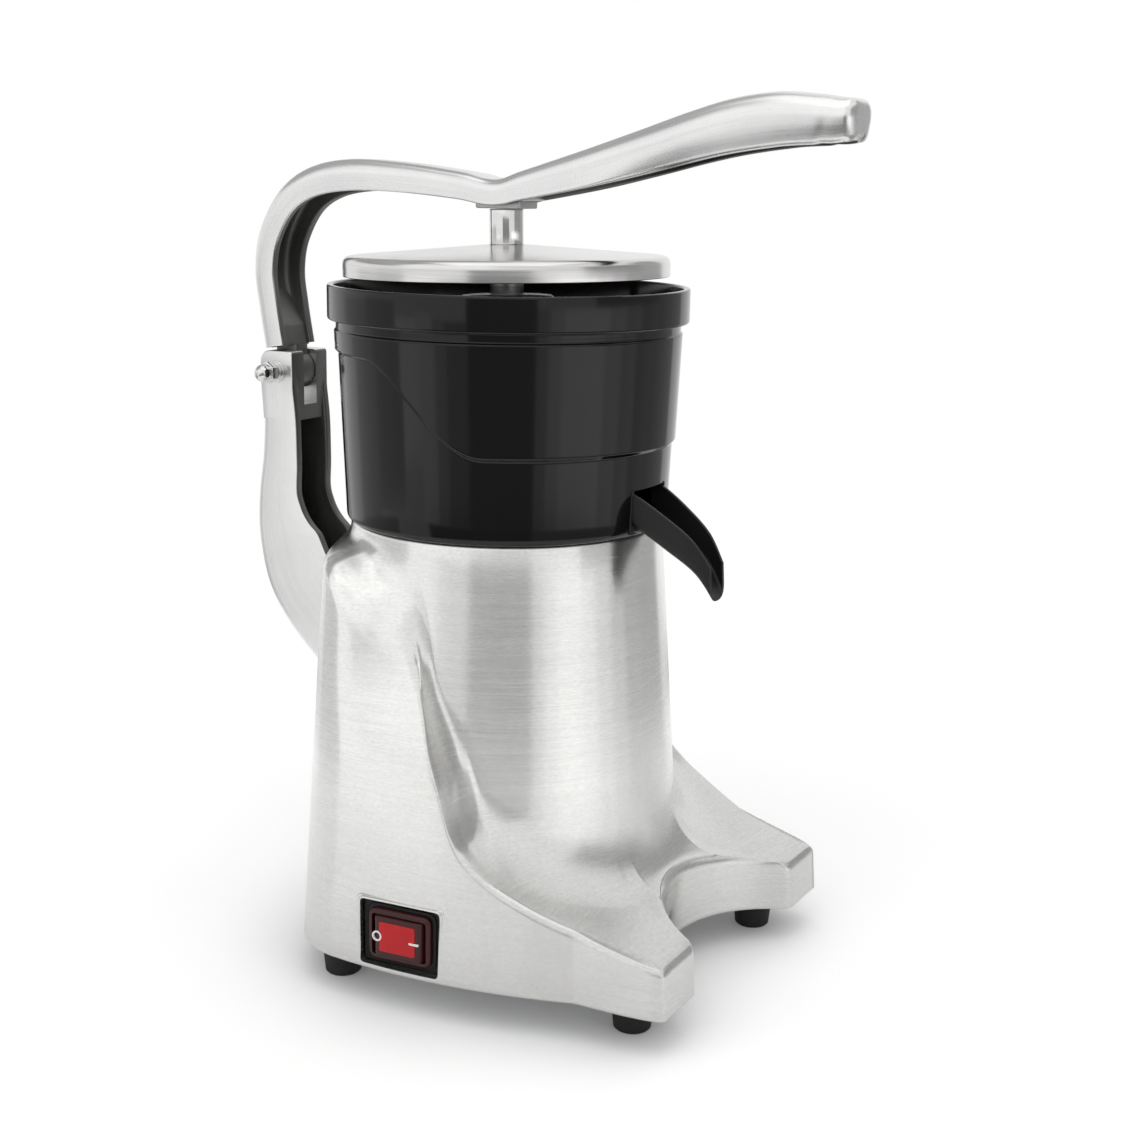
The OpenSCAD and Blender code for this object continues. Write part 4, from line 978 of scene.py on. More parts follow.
def build_row(g, at):
    """Straight row of level slots cut through a plate, side by side along Y."""
    line = g.add("GeometryNodeMeshLine", {
        "Count": at["Slots"], "Start Location": g.join(y=at["First"], z=at["Level"]),
        "Offset": g.join(y=at["Step"])}).outputs[0]
    cutter = g.box(at["Slot Length"], at["Slot Width"], CUTTER_H)
    return g.cut(at["Geometry"], g.real(g.on_points(line, cutter)))


FASTENERS = grower("fasteners", {
    "Sides": 32, "Head Radius": 0.004, "Head Top": 0.0036, "Head Height": 0.003, "Socket Radius": 0.0018,
    "Shank Radius": 0.002, "Shank Length": 0.01, "Turn": (0, 0, 0)}, build_fastener)
FEET = grower("rubber_feet", {
    "Upper Radius": 0.011, "Lower Radius": 0.009, "Height": 0.019, "Tread": 0.001,
    "Pocket Radius": 0.0048, "Pocket Depth": 0.018}, build_foot)
SLOTTED = grower("slotted_ring", {
    "Slots": 24, "Slot Ring": 0.056, "Slot Length": 0.022, "Slot Width": 0.0026,
    "Axis": FRAME_AXIS, "Level": 0.2575}, build_slotted)
AIR_ROW = grower("air_slots", {
    "Slots": 7, "First": 0.0, "Step": 0.011, "Slot Length": 0.064, "Slot Width": 0.005,
    "Level": 0.021}, build_row)


# Housing, feet and base plate

def bolt_holes(radius, start):
    """Cutters for the two bolts that hold the column."""
    return [bar("bolt_hole", radius, 0, 40, shift(0, start, z) @ rotate(-90, "X")) for z in BOLT_HEIGHTS]


def roof_screw_holes():
    """Cutters for the four screws that hold the motor under the roof."""
    places = [rotate(turn, "Z") @ shift(ROOF_SCREW_AT, 0, 0) for turn in (45, 135, 225, 315)]
    return [stepped_bar("screw_hole", ROOF_LOW, ROOF_SEAT, ROOF_HIGH, 2.6, 5, place, 40) for place in places]


def make_housing():
    pad, gland = pad_matrix(), shift(*GLAND_AT) @ rotate(90, "X")
    body = housing_skin()
    fuse(
        body,
        block("boss", BOSS_W, BOSS_Y - BOSS_START, 3, TOP_Z - 113, TOP_Z - 37,
              shift(0, (BOSS_Y + BOSS_START) / 2, 0), 2),
        prism("gland_boss", polygon_outline(48, 13), 0, 30, gland, 1),
        block("switch_pad", PAD_W + 5, PAD_H + 3.4, 2.5, -12, 0.6, pad, 0.5))
    low, high = 10, TOP_Z - 8
    room = [(0, low), (tower_r(low) - CAST_WALL, low), (tower_r(high) - CAST_WALL, high), (0, high)]
    cut(
        body,
        prism("plate_recess", drawn_in(full_plan(), 7.8), EDGE_Z - 3, PLATE_Z + PLATE_T),
        spun("tower_room", room, segments=96),
        bar("roof_hole", ROOF_HOLE_R, ROOF_LOW, ROOF_HIGH),
        block("switch_recess", PAD_W, PAD_H, 2.2, PANEL_LOW, 10, pad),
        block("switch_room", 34, 24, 1, -34, -1, pad),
        bar("gland_hole", 8.1, -10, 60, gland),
        *bolt_holes(PIN_R + 0.1, BOSS_START),
        *roof_screw_holes())
    dress(body, HOUSING_METAL, "stand", ["housing"], 40)


def make_switch_lip():
    """Round bead along the edge of the switch recess."""
    outer, inner = plate_outline(PAD_W + 2.8, PAD_H + 2.8, 3.6), plate_outline(PAD_W, PAD_H, 2.2)
    points = [(*(centre + half * 1.1 * math.cos(a)), 0.5 + math.sin(a))
              for centre, half in zip((outer + inner) / 2, (outer - inner) / 2) for a in full_turn(12)]
    lip = new_piece("switch_lip", turned(points, pad_matrix()), ring_faces(len(outer), 12))
    dress(lip, HOUSING_METAL, "stand", crease=60)


def make_feet():
    feet = grow("rubber_feet", FEET, [(x, y, 0) for x, y in FOOT_PLACES], Finish=FOOT_RUBBER)
    dress(feet, FOOT_RUBBER, "stand", ["foot_front_left", "foot_front_right", "foot_rear_left",
                                       "foot_rear_right"], 25)
    screws = grow("foot_screws_set", FASTENERS, [(x, y, 9) for x, y in FOOT_PLACES], Finish=ZINC,
                  Shank_Length=0.0239, Turn=HEAD_DOWN)
    dress(screws, ZINC, "stand", ["foot_screws"], 30)


def make_base_plate():
    outline = drawn_in(full_plan()[::2], 8.2)
    plate = prism("floor_plate", outline, PLATE_Z, PLATE_Z + PLATE_T, soft=0.3, steps=2)
    grow("floor_plate", AIR_ROW, plate, First=(SHIFT_Y - 41) / 1000, Finish=ZINC)
    dress(plate, ZINC, "stand", ["base_plate"], 30)
    places = [(*polar(plan_r(bearing) - PLATE_SCREW_IN, side * bearing), PLATE_Z)
              for bearing in np.radians(PLATE_SCREWS) for side in (-1, 1)]
    screws = grow("plate_screws_set", FASTENERS, places, Finish=ZINC, Head_Radius=0.003, Head_Top=0.0026,
                  Head_Height=0.0018, Socket_Radius=0.0013, Shank_Radius=0.0015, Shank_Length=0.009,
                  Turn=HEAD_DOWN)
    dress(screws, ZINC, "stand", ["base_plate_screws"], 30)


# Column, lever and pivot

COLUMN_KNOTS = [(y, z, depth, COLUMN_W / 2) for y, z, depth in [
    (82, TOP_Z - 115, 54), (112, TOP_Z - 92.5, 52), (PIVOT_Y - 4, TOP_Z - 72.5, 49),
    (PIVOT_Y + 9.6, TOP_Z - 51.5, 47), (PIVOT_Y + 15.6, TOP_Z - 25, 42), (PIVOT_Y + 15.2, TOP_Z - 2, 29.5),
    (PIVOT_Y + 12, TOP_Z + 19, 25.5), (PIVOT_Y + EAR_R - 0.4, TOP_Z + 38, 23.6),
    (PIVOT_Y + EAR_R, PIVOT_Z - 12, 22.4), (PIVOT_Y + EAR_R, PIVOT_Z, 21.6)]]
LEVER_KNOTS = [(y, TOP_Z + z, depth, LEVER_W / 2 * w) for y, z, depth, w in [
    (147.6, 77, 14.5, 1), (151.3, 98, 14.5, 1), (154, 118.5, 15, 1), (150.2, 139.5, 15.5, 1),
    (137, 160, 15.5, 1), (118, 172, 16, 1), (92, 176.6, 16, 1), (58, 175, 14.5, 1), (22, 170.8, 13, 1),
    (3, 167.6, 12.4, 1), (-12.5, 172, 14.2, 1), (-44.4, 181.6, 18, 1), (-73.4, 190.7, 20.8, 1.02),
    (-100.7, 199.4, 23, 1.06), (-122, 205, 24.4, 1.1), (-144, 207.6, 24.2, 1.12), (-164, 206.2, 21.8, 1.1),
    (-172, 205, 20, 1.06), (-177.2, 204.6, 18.8, 1.02)]]


def side_prism(name, outline, width, soft=0.0):
    """Outline of place along Y and height, carried across the object."""
    side = Matrix(((0, 0, 1, 0), (1, 0, 0, 0), (0, 1, 0, 0), (0, 0, 0, 1)))
    return prism(name, outline, -width / 2, width / 2, side, soft)


def leave_raw_and_shaded(piece, chosen):
    """Moves the chosen faces' map to the finish part left unsanded and painted dark as shade."""
    layer = piece.data.uv_layers["along"].data
    for face in piece.data.polygons:
        if chosen(face.normal, face.center):
            for k in face.loop_indices:
                if layer[k].uv[1] < 0.5:
                    layer[k].uv[1] += 1


def make_column():
    column = channel("column_casting", COLUMN_KNOTS, 10, WEB, WALL, 4.5)
    front, back = PIVOT_Y - EAR_R, PIVOT_Y + EAR_R
    ears = rounded([(front, PIVOT_Z - 26, 0), (back - 1.5, PIVOT_Z - 26, 0), (back, PIVOT_Z - 6, 0),
                    (back, PIVOT_Z + EAR_R, EAR_ROUND * 1.15), (front, PIVOT_Z + EAR_R, 2.2)], 10)
    fuse(
        column,
        side_prism("ears", ears, COLUMN_W, 0.8),
        block("foot_block", COLUMN_W - 2, 11, 1.0, TOP_Z - 109, TOP_Z - 41, shift(0, BOSS_Y + 5.5, 0), 0.8))
    cut(
        column,
        block("ear_slot", EAR_SLOT, 80, 0.5, PIVOT_Z - 18, PIVOT_Z + 42, shift(0, PIVOT_Y, 0)),
        block("front_cut", 100, 100, 0.5, 0, TOP_Z, shift(0, BOSS_Y - 50, 0)),
        bar("pivot_hole", PIN_R + 0.1, -50, 50, pivot_matrix()),
        *bolt_holes(PIN_R + 0.02, 87))
    # Front faces of the column get the unsanded finish with painted shade.
    leave_raw_and_shaded(column, lambda way, at: way.y < -0.5)
    dress(column, LEVER_METAL, "stand", ["lever_column"], 38)


def tip_fill(y, depth):
    """The handle end is solid below its web."""
    return WEB + (depth - WEB - LEAST_LIP) * fade(-y, *TIP_FROM) if -y > TIP_FROM[0] else 0


def handle_swell(y):
    """The lever grows rounder towards the handle."""
    return fade(-y, *SWELL_FROM)


def make_lever():
    lever = channel("lever_casting", LEVER_KNOTS, 10, WEB, WALL, 8.0, 1.0, fill=tip_fill,
                    swell=handle_swell, nose=(7.5, 4.4))
    hub = rounded([(0, 0, 0), (EAR_R - 0.8, 0, 0.5), (EAR_R - 0.8, TONGUE, 0.5), (0, TONGUE, 0)])
    root = [(PIVOT_Y - 2.8, PIVOT_Z + 12), (PIVOT_Y + 9, PIVOT_Z + 12),
            (PIVOT_Y + 12.5, PIVOT_Z + 45), (PIVOT_Y - 0.2, PIVOT_Z + 24)]
    fuse(
        lever,
        block("seat", LEVER_W - 4, 32, 2, SEAT_Z, SEAT_Z + 8, shift(0, PRESS_Y, 0), 0.6),
        spun("tongue", hub, pivot_matrix(-TONGUE / 2), 96),
        block("tongue_root", TONGUE, 14, 1, PIVOT_Z, PIVOT_Z + 14, shift(0, PIVOT_Y + 1, 0)),
        side_prism("root_fill", root, 20))
    gap_top = PIVOT_Z + EAR_R + 0.9
    cut(
        lever,
        bar("cheek_left", EAR_REACH, -50, -TONGUE / 2, pivot_matrix(), 96),
        bar("cheek_right", EAR_REACH, TONGUE / 2, 50, pivot_matrix(), 96),
        block("left_gap", 40, 80, 0.5, PIVOT_Z - 40, gap_top, shift(-20 - TONGUE / 2, PIVOT_Y, 0)),
        block("right_gap", 40, 80, 0.5, PIVOT_Z - 40, gap_top, shift(20 + TONGUE / 2, PIVOT_Y, 0)),
        bar("bush_hole", 4.5, -50, 50, pivot_matrix()),
        *[bar("screw_hole", 1.52, SEAT_Z - 9, SEAT_Z + 6, shift(x, y, 0), 32) for x, y in SEAT_SCREWS])
    # Faces near the pivot between the cheeks get the unsanded finish with painted shade.
    leave_raw_and_shaded(lever, lambda way, at: at.z < (PIVOT_Z + 46) / 1000 and abs(at.x) < 0.0105 and way.y < 0.5)
    dress(lever, LEVER_METAL, "lever_arm", ["lever"], 38)


def make_pivot():
    left, right = pivot_matrix(-COLUMN_W / 2, -1), pivot_matrix(COLUMN_W / 2)
    washer, spacer, dome_r, dome_z = 1.6, 3.6, 4.67, 10.6
    nut = prism("cap_nut", polygon_outline(6, HEX_R), spacer, 8.6, left, 0.5)
    dome = [(0, 8.2), (dome_r, 8.2), (dome_r, dome_z)]
    dome += [(dome_r * math.cos(a), dome_z + dome_r * math.sin(a)) for a in np.linspace(0, QUARTER, 12)[1:]]
    fuse(nut, spun("cap_dome", dome, left))
    cut(nut, bar("cap_bore", PIN_R + 0.02, 2, 12.1, left))
    dress(nut, BRIGHT_STEEL, "stand", ["acorn_nut"], 28)
    points, faces, hole = [], [], PIN_R + 0.1
    rings = ((left, 6.0, 0, washer), (left, 5.4, washer, spacer), (right, 6.0, 0, washer))
    for place, outer, low, high in rings:
        outline = rounded([(hole, low, 0.2), (outer, low, 0.35), (outer, high, 0.35), (hole, high, 0.2)], 3)
        ring, quads = lathe(outline, 64)
        faces += [tuple(i + len(points) for i in quad) for quad in quads]
        points += list(turned(ring, place))
    dress(new_piece("pivot_rings", points, faces), BRIGHT_STEEL, "stand", ["pivot_washers"], 30)
    bolt = prism("pivot_pin", polygon_outline(6, HEX_R), washer, 5.6, right, 0.4)
    fuse(bolt, bar("pin", PIN_R, -12, 32, pivot_matrix(-COLUMN_W / 2)))
    dress(bolt, ZINC, "stand", ["pivot_bolt"], 28)


# Bowl, spout and what works inside

def bowl_r(z):
    """Outer radius of the plain bowl wall."""
    return BOWL_R + (z - TOP_Z) * (RIM_R - 4.6 - BOWL_R) / (LIP_Z - TOP_Z)


def bowl_outline():
    """Outline of the bowl without the raised band; the first corner is the foot of its wall."""
    ledge = bowl_r(LEDGE_Z) - BOWL_WALL
    return rounded([
        (BOWL_R, TOP_Z, 4), (bowl_r(LIP_Z) + 0.4, LIP_Z, 0.9), (RIM_R, LIP_Z, 1.6), (RIM_R, RIM_Z, 1.1),
        (RIM_R - 3.3, RIM_Z, 1.1), (RIM_R - 4, LIP_Z + 1, 2), (bowl_r(LIP_Z) - BOWL_WALL, LIP_Z - 1, 2),
        (ledge, LEDGE_Z, 0.5), (ledge - LEDGE, LEDGE_Z, 0.5), (ledge - LEDGE, LEDGE_Z - 1.5, 0.5),
        (bowl_r(TOP_Z + 25) - BOWL_WALL, TOP_Z + 25, 1), (bowl_r(TOP_Z + 6) - BOWL_WALL, TOP_Z + 6, 2.5),
        (BOWL_R - 6.6, TOP_Z + 3, 1), (HUB_R + 3, TOP_Z + 5, 2), (HUB_R + 2.5, HUB_Z, 0.8),
        (HUB_R, HUB_Z, 0.8), (HUB_R, TOP_Z, 0.3)], 5)


def bowl_wall(turn, low, high):
    """Outside of the bowl at one turn: plain below the ridge, standing out in the band above it."""
    ridge = TOP_Z + RIDGE_LOW + RIDGE_STEP * fade(-84 * math.cos(turn), -34, 64)
    heights = list(np.linspace(low, ridge - 2.2, 8)[1:])
    heights += [ridge + s for s in (-1.5, -0.9, -0.45, 0, 0.45, 0.9, 1.5, 2.4)]
    heights += list(np.linspace(ridge + 2.4, NECK_Z - 1.2, 7)[1:])
    heights += [NECK_Z + s for s in (-0.8, -0.3, 0.1, 0.5, 1.0)] + [(NECK_Z + high) / 2 + 0.6]
    return [(bowl_r(z) + BAND * fade(z - ridge, -1.1, 2.2) - (BAND - 0.6) * fade(z - NECK_Z, -0.7, 1.4), z)
            for z in heights]


def make_bowl():
    outline, points, segments = bowl_outline(), [], 320
    foot, rest = list(outline[:6]), list(outline[6:])
    for turn in full_turn(segments):
        rows = foot + bowl_wall(turn, foot[-1][1], rest[0][1]) + rest
        points += [(*polar(r, turn), z) for r, z in rows]
    bowl = new_piece("bowl_shell", points, ring_faces(segments, len(rows)))
    hole = block("spout_hole", 2 * SPOUT_W + 1.2, 60, 0.5, TOP_Z + 4, TOP_Z + 23.2, shift(0, -RIM_R, 0))
    cut(bowl, hole)
    dress(bowl, BOWL_BLACK, "stand", ["juice_bowl"], 40)


SPOUT_KNOTS = [
    (-119.5, TOP_Z - 28.5, 17.5, SPOUT_W * 0.5), (-110.5, TOP_Z - 16, 18, SPOUT_W * 0.68),
    (-96, TOP_Z - 5.5, 18.6, SPOUT_W * 0.88), (-BOWL_R - 1, TOP_Z + 2.9, 18.6, SPOUT_W),
    (-BOWL_R + 5.5, TOP_Z + 4.2, 18.6, SPOUT_W)]


def make_spout():
    spout = channel("spout_chute", SPOUT_KNOTS, 14, 2.2, 2.0, 8.5, 0.7, up=(0.06, 1))
    edge = plate_outline(2 * SPOUT_W + 2.4, 22, 1.0, 5) + (0, TOP_Z + 12.6)
    points = np.array([(x, -math.sqrt((bowl_r(z) + out) ** 2 - x * x), z)
                       for x, z in edge for out in (-0.4, 0.3, 0.6)])
    points[2::3, 0] *= 0.975
    starts = range(0, len(points), 3)
    faces = ring_faces(len(edge), 3, closed_rows=False)
    faces += [tuple(starts)[::-1], tuple(i + 2 for i in starts)]
    flange = new_piece("spout_flange", points, faces)
    mouth = block("mouth", 2 * SPOUT_W - 1, 60, 1, TOP_Z + 6, TOP_Z + 46, shift(0, -RIM_R, 0))
    cut(flange, mouth)
    fuse(spout, flange)
    dress(spout, SPOUT_BLACK, "stand", ["spout"], 40)


def make_strainer():
    out = bowl_r(LEDGE_Z) - BOWL_WALL - 0.4
    outline = [(r, LEDGE_Z + z, soft) for r, z, soft in (
        (21, 0, 0.3), (out - 3, 0, 2.5), (out, 9, 0.5), (out - 2, 9, 0.5), (out - 4.6, 2, 1.5), (23, 2, 0.8),
        (23, 6, 0.5), (21, 6, 0.5))]
    dish = spun("strainer_dish", rounded(outline, 4), segments=192)
    for slots, ring, length in ((24, 0.0562, 0.0228), (12, 0.0345, 0.0105)):
        grow("strainer_dish", SLOTTED, dish, Slots=slots, Slot_Ring=ring, Slot_Length=length,
             Level=(LEDGE_Z + 1) / 1000, Finish=DRIVE_STEEL)
    dress(dish, DRIVE_STEEL, "stand", ["strainer"], 30)


def make_reamer():
    """Ribbed cone: an ogive with ten round-backed ribs, hollow below over the drive shaft."""
    points, segments = [], 240
    below = [(0, 13), (7, 13), (19.2, 4), (19.5, 0), (CONE_R - 1, 0), (CONE_R, 1), (CONE_R, 2.2)]
    for turn in full_turn(segments):
        rib = (0.5 + 0.5 * math.cos(CONE_RIBS * turn)) ** 3
        column = list(below)
        for t in np.linspace(0.03, 0.995, 34):
            r = (CONE_R - 3) * math.sqrt(1 - t * t) * (1 - 0.25 * t) + 1.2 * (1 - t)
            column.append((r - 1.0 + 3.0 * rib * (1 - t * 0.8), 3 + (CONE_H - 4) * t))
        column.append((0, CONE_H - 0.4))
        points += [(*polar(max(r, 0), turn), CONE_Z + z) for r, z in column]
    reamer = new_piece("ribbed_cone", points, ring_faces(segments, len(column), closed_rows=False))
    cut(reamer, bar("shaft_bore", 5.01, CONE_Z - 2, CONE_Z + 29.5))
    dress(reamer, FOOD_WHITE, "spindle", ["reamer"], 50)


# Press group under the lever

def make_lid():
    brow, inner, flat = LID_Z + LID_H, LID_R - LID_T, ROD_R + 1
    outline = rounded([
        (BORE_R, LID_TOP, 0.2), (flat, LID_TOP, 0), (LID_R, brow - 0.25, 4.4), (LID_R, LID_Z, 0.5),
        (inner, LID_Z, 0.5), (inner, brow - 1.4, 3.6), (flat, LID_TOP - LID_T, 0),
        (BORE_R, LID_TOP - LID_T, 0.2)], 8)
    lid = spun("lid_disc", outline, press_matrix(), 256)
    dress(lid, LID_STEEL, "lever_arm", ["splash_lid"], 40)


def make_rod():
    low, high = LID_TOP - 32, SEAT_LOW - 0.15
    outline = rounded([(0, low, 0), (ROD_END_R, low, 0.5), (ROD_END_R, LID_TOP, 0), (ROD_R, LID_TOP, 0.4),
                       (ROD_R, high, 0.8), (0, high, 0)], 4)
    rod = spun("press_stem", outline, press_matrix(), 96)
    dress(rod, ROD_STEEL, "lever_arm", ["press_rod"], 35)


def make_rod_seat():
    plate = block("rod_seat", 18, 26, 2, SEAT_LOW, SEAT_Z, shift(0, PRESS_Y, 0), 0.7)
    holes = [bar("hole", BORE_R, SEAT_Z - 9, SEAT_Z + 9, shift(0, PRESS_Y, 0))]
    holes += [stepped_bar("screw_hole", SEAT_Z - 9, SEAT_STEP, SEAT_Z + 9, 2.5, 1.6, shift(x, y, 0), 32)
              for x, y in SEAT_SCREWS]
    cut(plate, *holes)
    dress(plate, ROUGH_CAST, "lever_arm", ["rod_plate"], 30)
    screws = grow("rod_screws_set", FASTENERS, [(x, y, SEAT_STEP) for x, y in SEAT_SCREWS], Finish=ZINC,
                  Head_Radius=0.0024, Head_Top=0.0024, Head_Height=0.0016, Socket_Radius=0.0011,
                  Shank_Radius=0.0015, Shank_Length=0.0064, Turn=HEAD_DOWN)
    dress(screws, ZINC, "lever_arm", ["rod_plate_screws"], 30)


def make_cup():
    """Domed cup with a neck that reaches up to the lid."""
    crown, low, neck = LID_TOP - LID_T, TOP_Z + 74, ROD_R - 0.1
    high, rise = crown - 26, np.linspace(0, 1, 25)
    outer = [(CUP_R - CUP_DRAW * t ** CUP_BEND, low + (high + CUP_T - low) * t) for t in rise]
    inner = [(CUP_R - CUP_T - CUP_DRAW * t ** CUP_BEND, low + (high - low) * t) for t in rise[::-1]]
    outline = outer + [(neck, high + 3), (neck, crown), (BORE_R, crown), (BORE_R, high)] + inner
    cup = spun("fruit_cup", outline, press_matrix(), 160)
    dress(cup, CUP_METAL, "lever_arm", ["press_cup"], 40)


# Switch and cable gland

def make_switch():
    pad = pad_matrix()
    panel = block("switch_plate", *PANEL, PANEL_LOW, PANEL_HIGH, pad, 0.3)
    fuse(panel, block("collar", *COLLAR, PANEL_HIGH - 1, PANEL_HIGH + 1, pad, 0.7))
    cut(panel, block("hole", *PANEL_HOLE, -10, 10, pad))
    dress(panel, PANEL_BLACK, "stand", ["switch_panel"], 35)
    boot = block("switch_cover", *BOOT, PANEL_HIGH, BOOT_HIGH, pad, 1.7, 5)
    cut(boot, block("hole", *BOOT_HOLE, -10, 10, pad))
    dress(boot, BOOT_RED, "stand", ["switch_boot"], 40)


def make_rocker():
    pad = pad_matrix()
    upright = pad @ rotate(90, "X")
    (foot, low), (top, high) = ROCKER_FOOT, ROCKER_TOP
    side = rounded([(-foot, low, 0.3), (foot, low, 0.3), (top, high, 2.4), (-top, high, 2.4)], 6)
    rocker = prism("rocker_body", side, -ROCKER_W / 2, ROCKER_W / 2, upright, 0.9, 4)
    fuse(rocker, bar("axle", AXLE_R, -9.6, 9.6, upright @ shift(0, -AXLE_DEEP, 0)),
                     block("stalk", *STALK, -AXLE_DEEP, 0, pad))
    dress(rocker, BOOT_RED, "rocker", ["switch_rocker"], 40)
    window = block("rocker_window", *WINDOW, high - 0.4, high + 0.4, pad, 0.3)
    dress(window, WINDOW_RED, "rocker", crease=40)
    ring = rounded([(1.75, MARK_LOW, 0.1), (2.6, MARK_LOW, 0.1), (2.6, MARK_HIGH, 0.1),
                    (1.75, MARK_HIGH, 0.1)], 2)
    dress(spun("off_mark", ring, pad @ shift(-10.8, 0, 0), 48), MARK_WHITE, "rocker", crease=40)
    stroke = block("on_mark", *STROKE, MARK_LOW, MARK_HIGH, pad @ shift(9.2, -0.6, 0), 0.1)
    dress(stroke, MARK_WHITE, "rocker", crease=40)


def make_gland():
    back = shift(*GLAND_AT) @ rotate(-90, "X")
    nut = prism("gland_nut", polygon_outline(6, 11), 0, 5, back, 0.6)
    line = [(0, -16), (8, -16), (8, 4), (9.5, 4.6)]
    for i in range(5):
        z, taper = 5.4 + i * 1.8, i * 0.45
        line += [(9.3 - taper, z), (8.6 - taper, z + 0.5), (8.6 - taper, z + 1.1), (9.1 - taper, z + 1.5)]
    line += [(7, 14.6), (6.4, 15), (0, 15)]
    fuse(nut, spun("gland_cone", line, back, 96))
    cut(nut, bar("gland_bore", 4, -20, 30, back))
    dress(nut, SPOUT_BLACK, "stand", ["cable_gland"], 30)


for make in (make_housing, make_switch_lip, make_feet, make_base_plate, make_column, make_lever, make_pivot,
             make_bowl, make_spout, make_strainer, make_reamer, make_lid, make_rod, make_rod_seat, make_cup,
             make_switch, make_rocker, make_gland):
    make()

CARRIED_OVER = {
    ROUGH_CAST: ["motor_top_bracket", "motor_bottom_bracket"],
    DRIVE_STEEL: ["drive_shaft", "upper_bearing", "lower_bearing"],
    ZINC: ["column_bolts", "bracket_screws", "tie_bolts", "capacitor_strap", "cup_nut"],
    SHEETS: ["stator_core", "rotor"],
    COPPER: ["windings"],
    FOOT_RUBBER: ["shaft_seal"],
    SPOUT_BLACK: ["cooling_fan", "switch_body"],
    BRONZE: ["pivot_bush"],
    CAN_GREY: ["capacitor"],
}
for material, names in CARRIED_OVER.items():
    for name in names:
        cad_nodes[name].data.materials.clear()
        cad_nodes[name].data.materials.append(material)


# Studio

FLOOR_R, FLOOR_TONE, FLOOR_GLOW, FLOOR_SEEN = 0.5, 0.8, 0.08, 1.1
SHADE_REACH, SHADE_OPEN, SHADE_DARK = 0.1, 0.85, 0.48
SCREEN_R, SCREEN_STEPS, CAMERA_SIDE = 3.0, 12, 210.0
WHITE = (1, 1, 1, 1)

# Screens: bearings of the two ends from the camera side, lower and upper edge, brightness
SCREENS = {
    "dim_screen": (-24, 19, -0.6, 0.6, 0.29),
    "left_shade": (-38, -24, -0.6, -0.05, 0.55),
    "left_mid": (-46, -38, -0.6, 0.0, 0.8),
    "left_glow": (-57, -46, -0.6, 0.1, 1.2),
    "left_low": (-72, -57, -0.6, -0.42, 0.95),
    "left_strip": (-72, -57, -0.42, 0.0, 1.35),
    "left_edge": (-96, -72, -0.5, 0.3, 0.65),
    "left_side": (-120, -96, -0.6, 0.25, 0.75),
    "left_sky": (-75, -8, 0.7, 3.2, 1.18),
    "right_edge": (19, 27, -0.6, 0.25, 0.75),
    "right_rise": (27, 36, -0.6, 0.25, 1.15),
    "right_strip": (36, 66, -0.6, 0.25, 1.45),
    "right_fall": (66, 79, -0.6, 0.25, 1.1),
    "right_tail": (79, 92, -0.6, 0.25, 0.8),
    "side_screen": (92, 108, -0.6, 0.25, 0.52),
    "far_screen": (108, 138, -0.6, 2.5, 0.45),
    "high_edge": (24, 56, 0.25, 1.3, 0.9),
    "high_screen": (56, 108, 0.25, 1.75, 0.36),
    "back_sky": (-178, -84, 1.4, 6.0, 0.45),
    "low_middle": (-54, 19, -2.5, -0.6, 0.2),
    "low_right": (19, 180, -2.5, -0.6, 0.36),
    "low_strip": (-80, -54, -2.5, -0.6, 0.85),
    "low_left": (-180, -80, -2.5, -0.6, 0.45),
}


def floor_tone_and_shadow(g):
    """Table tone: paler where it is seen than where it lights the object, with a painted contact shadow
    close to the object.
    """
    ray = g.add("ShaderNodeLightPath").outputs
    shown = g.math("MAXIMUM", ray["Is Camera Ray"], ray["Is Glossy Ray"])
    shown = g.math("MAXIMUM", shown, ray["Is Transmission Ray"])
    tone = g.math("MULTIPLY_ADD", shown, FLOOR_SEEN - FLOOR_TONE, FLOOR_TONE)
    # Painted contact shadow: ambient occlusion darkens the floor near the object.
    near = g.add("ShaderNodeAmbientOcclusion", {"Distance": SHADE_REACH}).outputs["AO"]
    tone = g.math("MULTIPLY", tone, g.spread(near, 0.0, SHADE_OPEN, SHADE_DARK, 1.0))
    return g.add("ShaderNodeCombineColor", {0: tone, 1: tone, 2: tone}).outputs[0]


def stage_piece(name, points, faces, glow, colour=None):
    """Plain studio surface that is not part of the object; without a colour it only glows."""
    mesh = bpy.data.meshes.new(name)
    mesh.from_pydata(points, [], faces)
    piece = linked(name, mesh)
    material = bpy.data.materials.new(name)
    g = clear_graph(material)
    plain = g.add("ShaderNodeBsdfDiffuse", {"Color": colour(g) if colour else (0, 0, 0, 1)})
    light = g.add("ShaderNodeEmission", {"Color": WHITE, "Strength": glow})
    both = g.add("ShaderNodeAddShader", {0: plain.outputs[0], 1: light.outputs[0]})
    g.add("ShaderNodeOutputMaterial", {"Surface": both.outputs[0]})
    mesh.materials.append(material)
    return piece


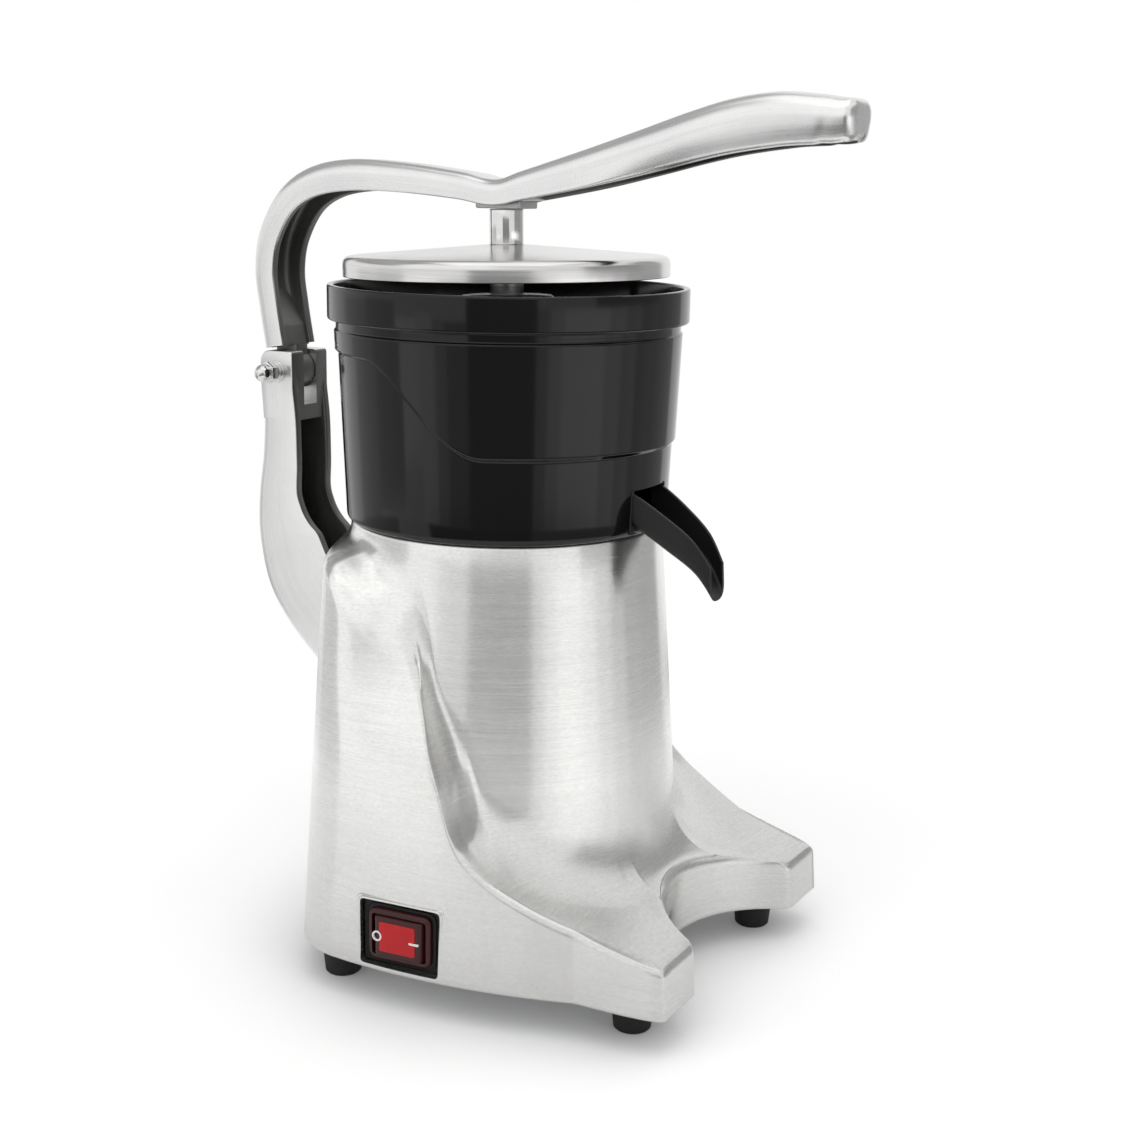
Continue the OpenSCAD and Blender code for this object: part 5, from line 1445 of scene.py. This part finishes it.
def make_floor():
    """Round white table top just wider than the object and its shadow."""
    points = [(FLOOR_R * math.cos(a), FLOOR_R * math.sin(a), 0) for a in full_turn(128)]
    stage_piece("studio_floor", points, [tuple(range(128))], FLOOR_GLOW, floor_tone_and_shadow)


def make_screen(name, left, right, low, high, level):
    """Upright screen round the object, seen only as a reflection."""
    bearings = np.radians(CAMERA_SIDE + np.linspace(left, right, SCREEN_STEPS + 1))
    points = [(SCREEN_R * math.cos(a), SCREEN_R * math.sin(a), z) for a in bearings for z in (low, high)]
    faces = ring_faces(SCREEN_STEPS + 1, 2, closed_rows=False, closed_columns=False)
    stage_piece(name, points, faces, level).visible_camera = False


def make_world():
    """White surroundings that grow dimmer overhead."""
    scene.world = bpy.data.worlds.new("studio")
    g = clear_graph(scene.world)
    height = g.split(g.add("ShaderNodeTexCoord").outputs["Generated"])[2]
    level = g.spread(height, 0.7, 1.0, 1.0, 0.65, interpolation_type="SMOOTHSTEP")
    lit = g.add("ShaderNodeBackground", {"Color": WHITE, "Strength": level})
    g.add("ShaderNodeOutputWorld", {"Surface": lit.outputs[0]})


def add_lamp(name, place, aim, size, power):
    """Square panel lamp that faces a point."""
    data = bpy.data.lights.new(name, "AREA")
    data.shape, data.size, data.size_y, data.energy = "RECTANGLE", size, size, power
    lamp = linked(name, data)
    lamp.location = place
    lamp.rotation_mode = "QUATERNION"
    lamp.rotation_quaternion = (Vector(aim) - Vector(place)).to_track_quat("-Z", "Y")


def make_camera():
    """Camera fitted to the photograph."""
    data = bpy.data.cameras.new("photo_camera")
    data.sensor_width, data.lens = 36.0, 54.23
    data.clip_start, data.clip_end = 0.05, 100
    camera = linked("photo_camera", data)
    right, up, on = (0.5027, -0.8643, 0.0157), (0.1829, 0.1242, 0.9753), (0.8449, 0.4874, -0.2205)
    turn = Matrix((right, up, [-v for v in on])).transposed().to_quaternion()
    camera.matrix_world = shift(-0.7265, -0.44025, 0.3902) @ turn.to_matrix().to_4x4()
    scene.camera = camera


make_floor()
make_world()
for name, sizes in SCREENS.items():
    make_screen(name, *sizes)
add_lamp("top_panel", (-0.2, -0.1, 1.6), (0, 0, 0.1), 1.4, 4)
make_camera()
scene.view_settings.view_transform = "Standard"
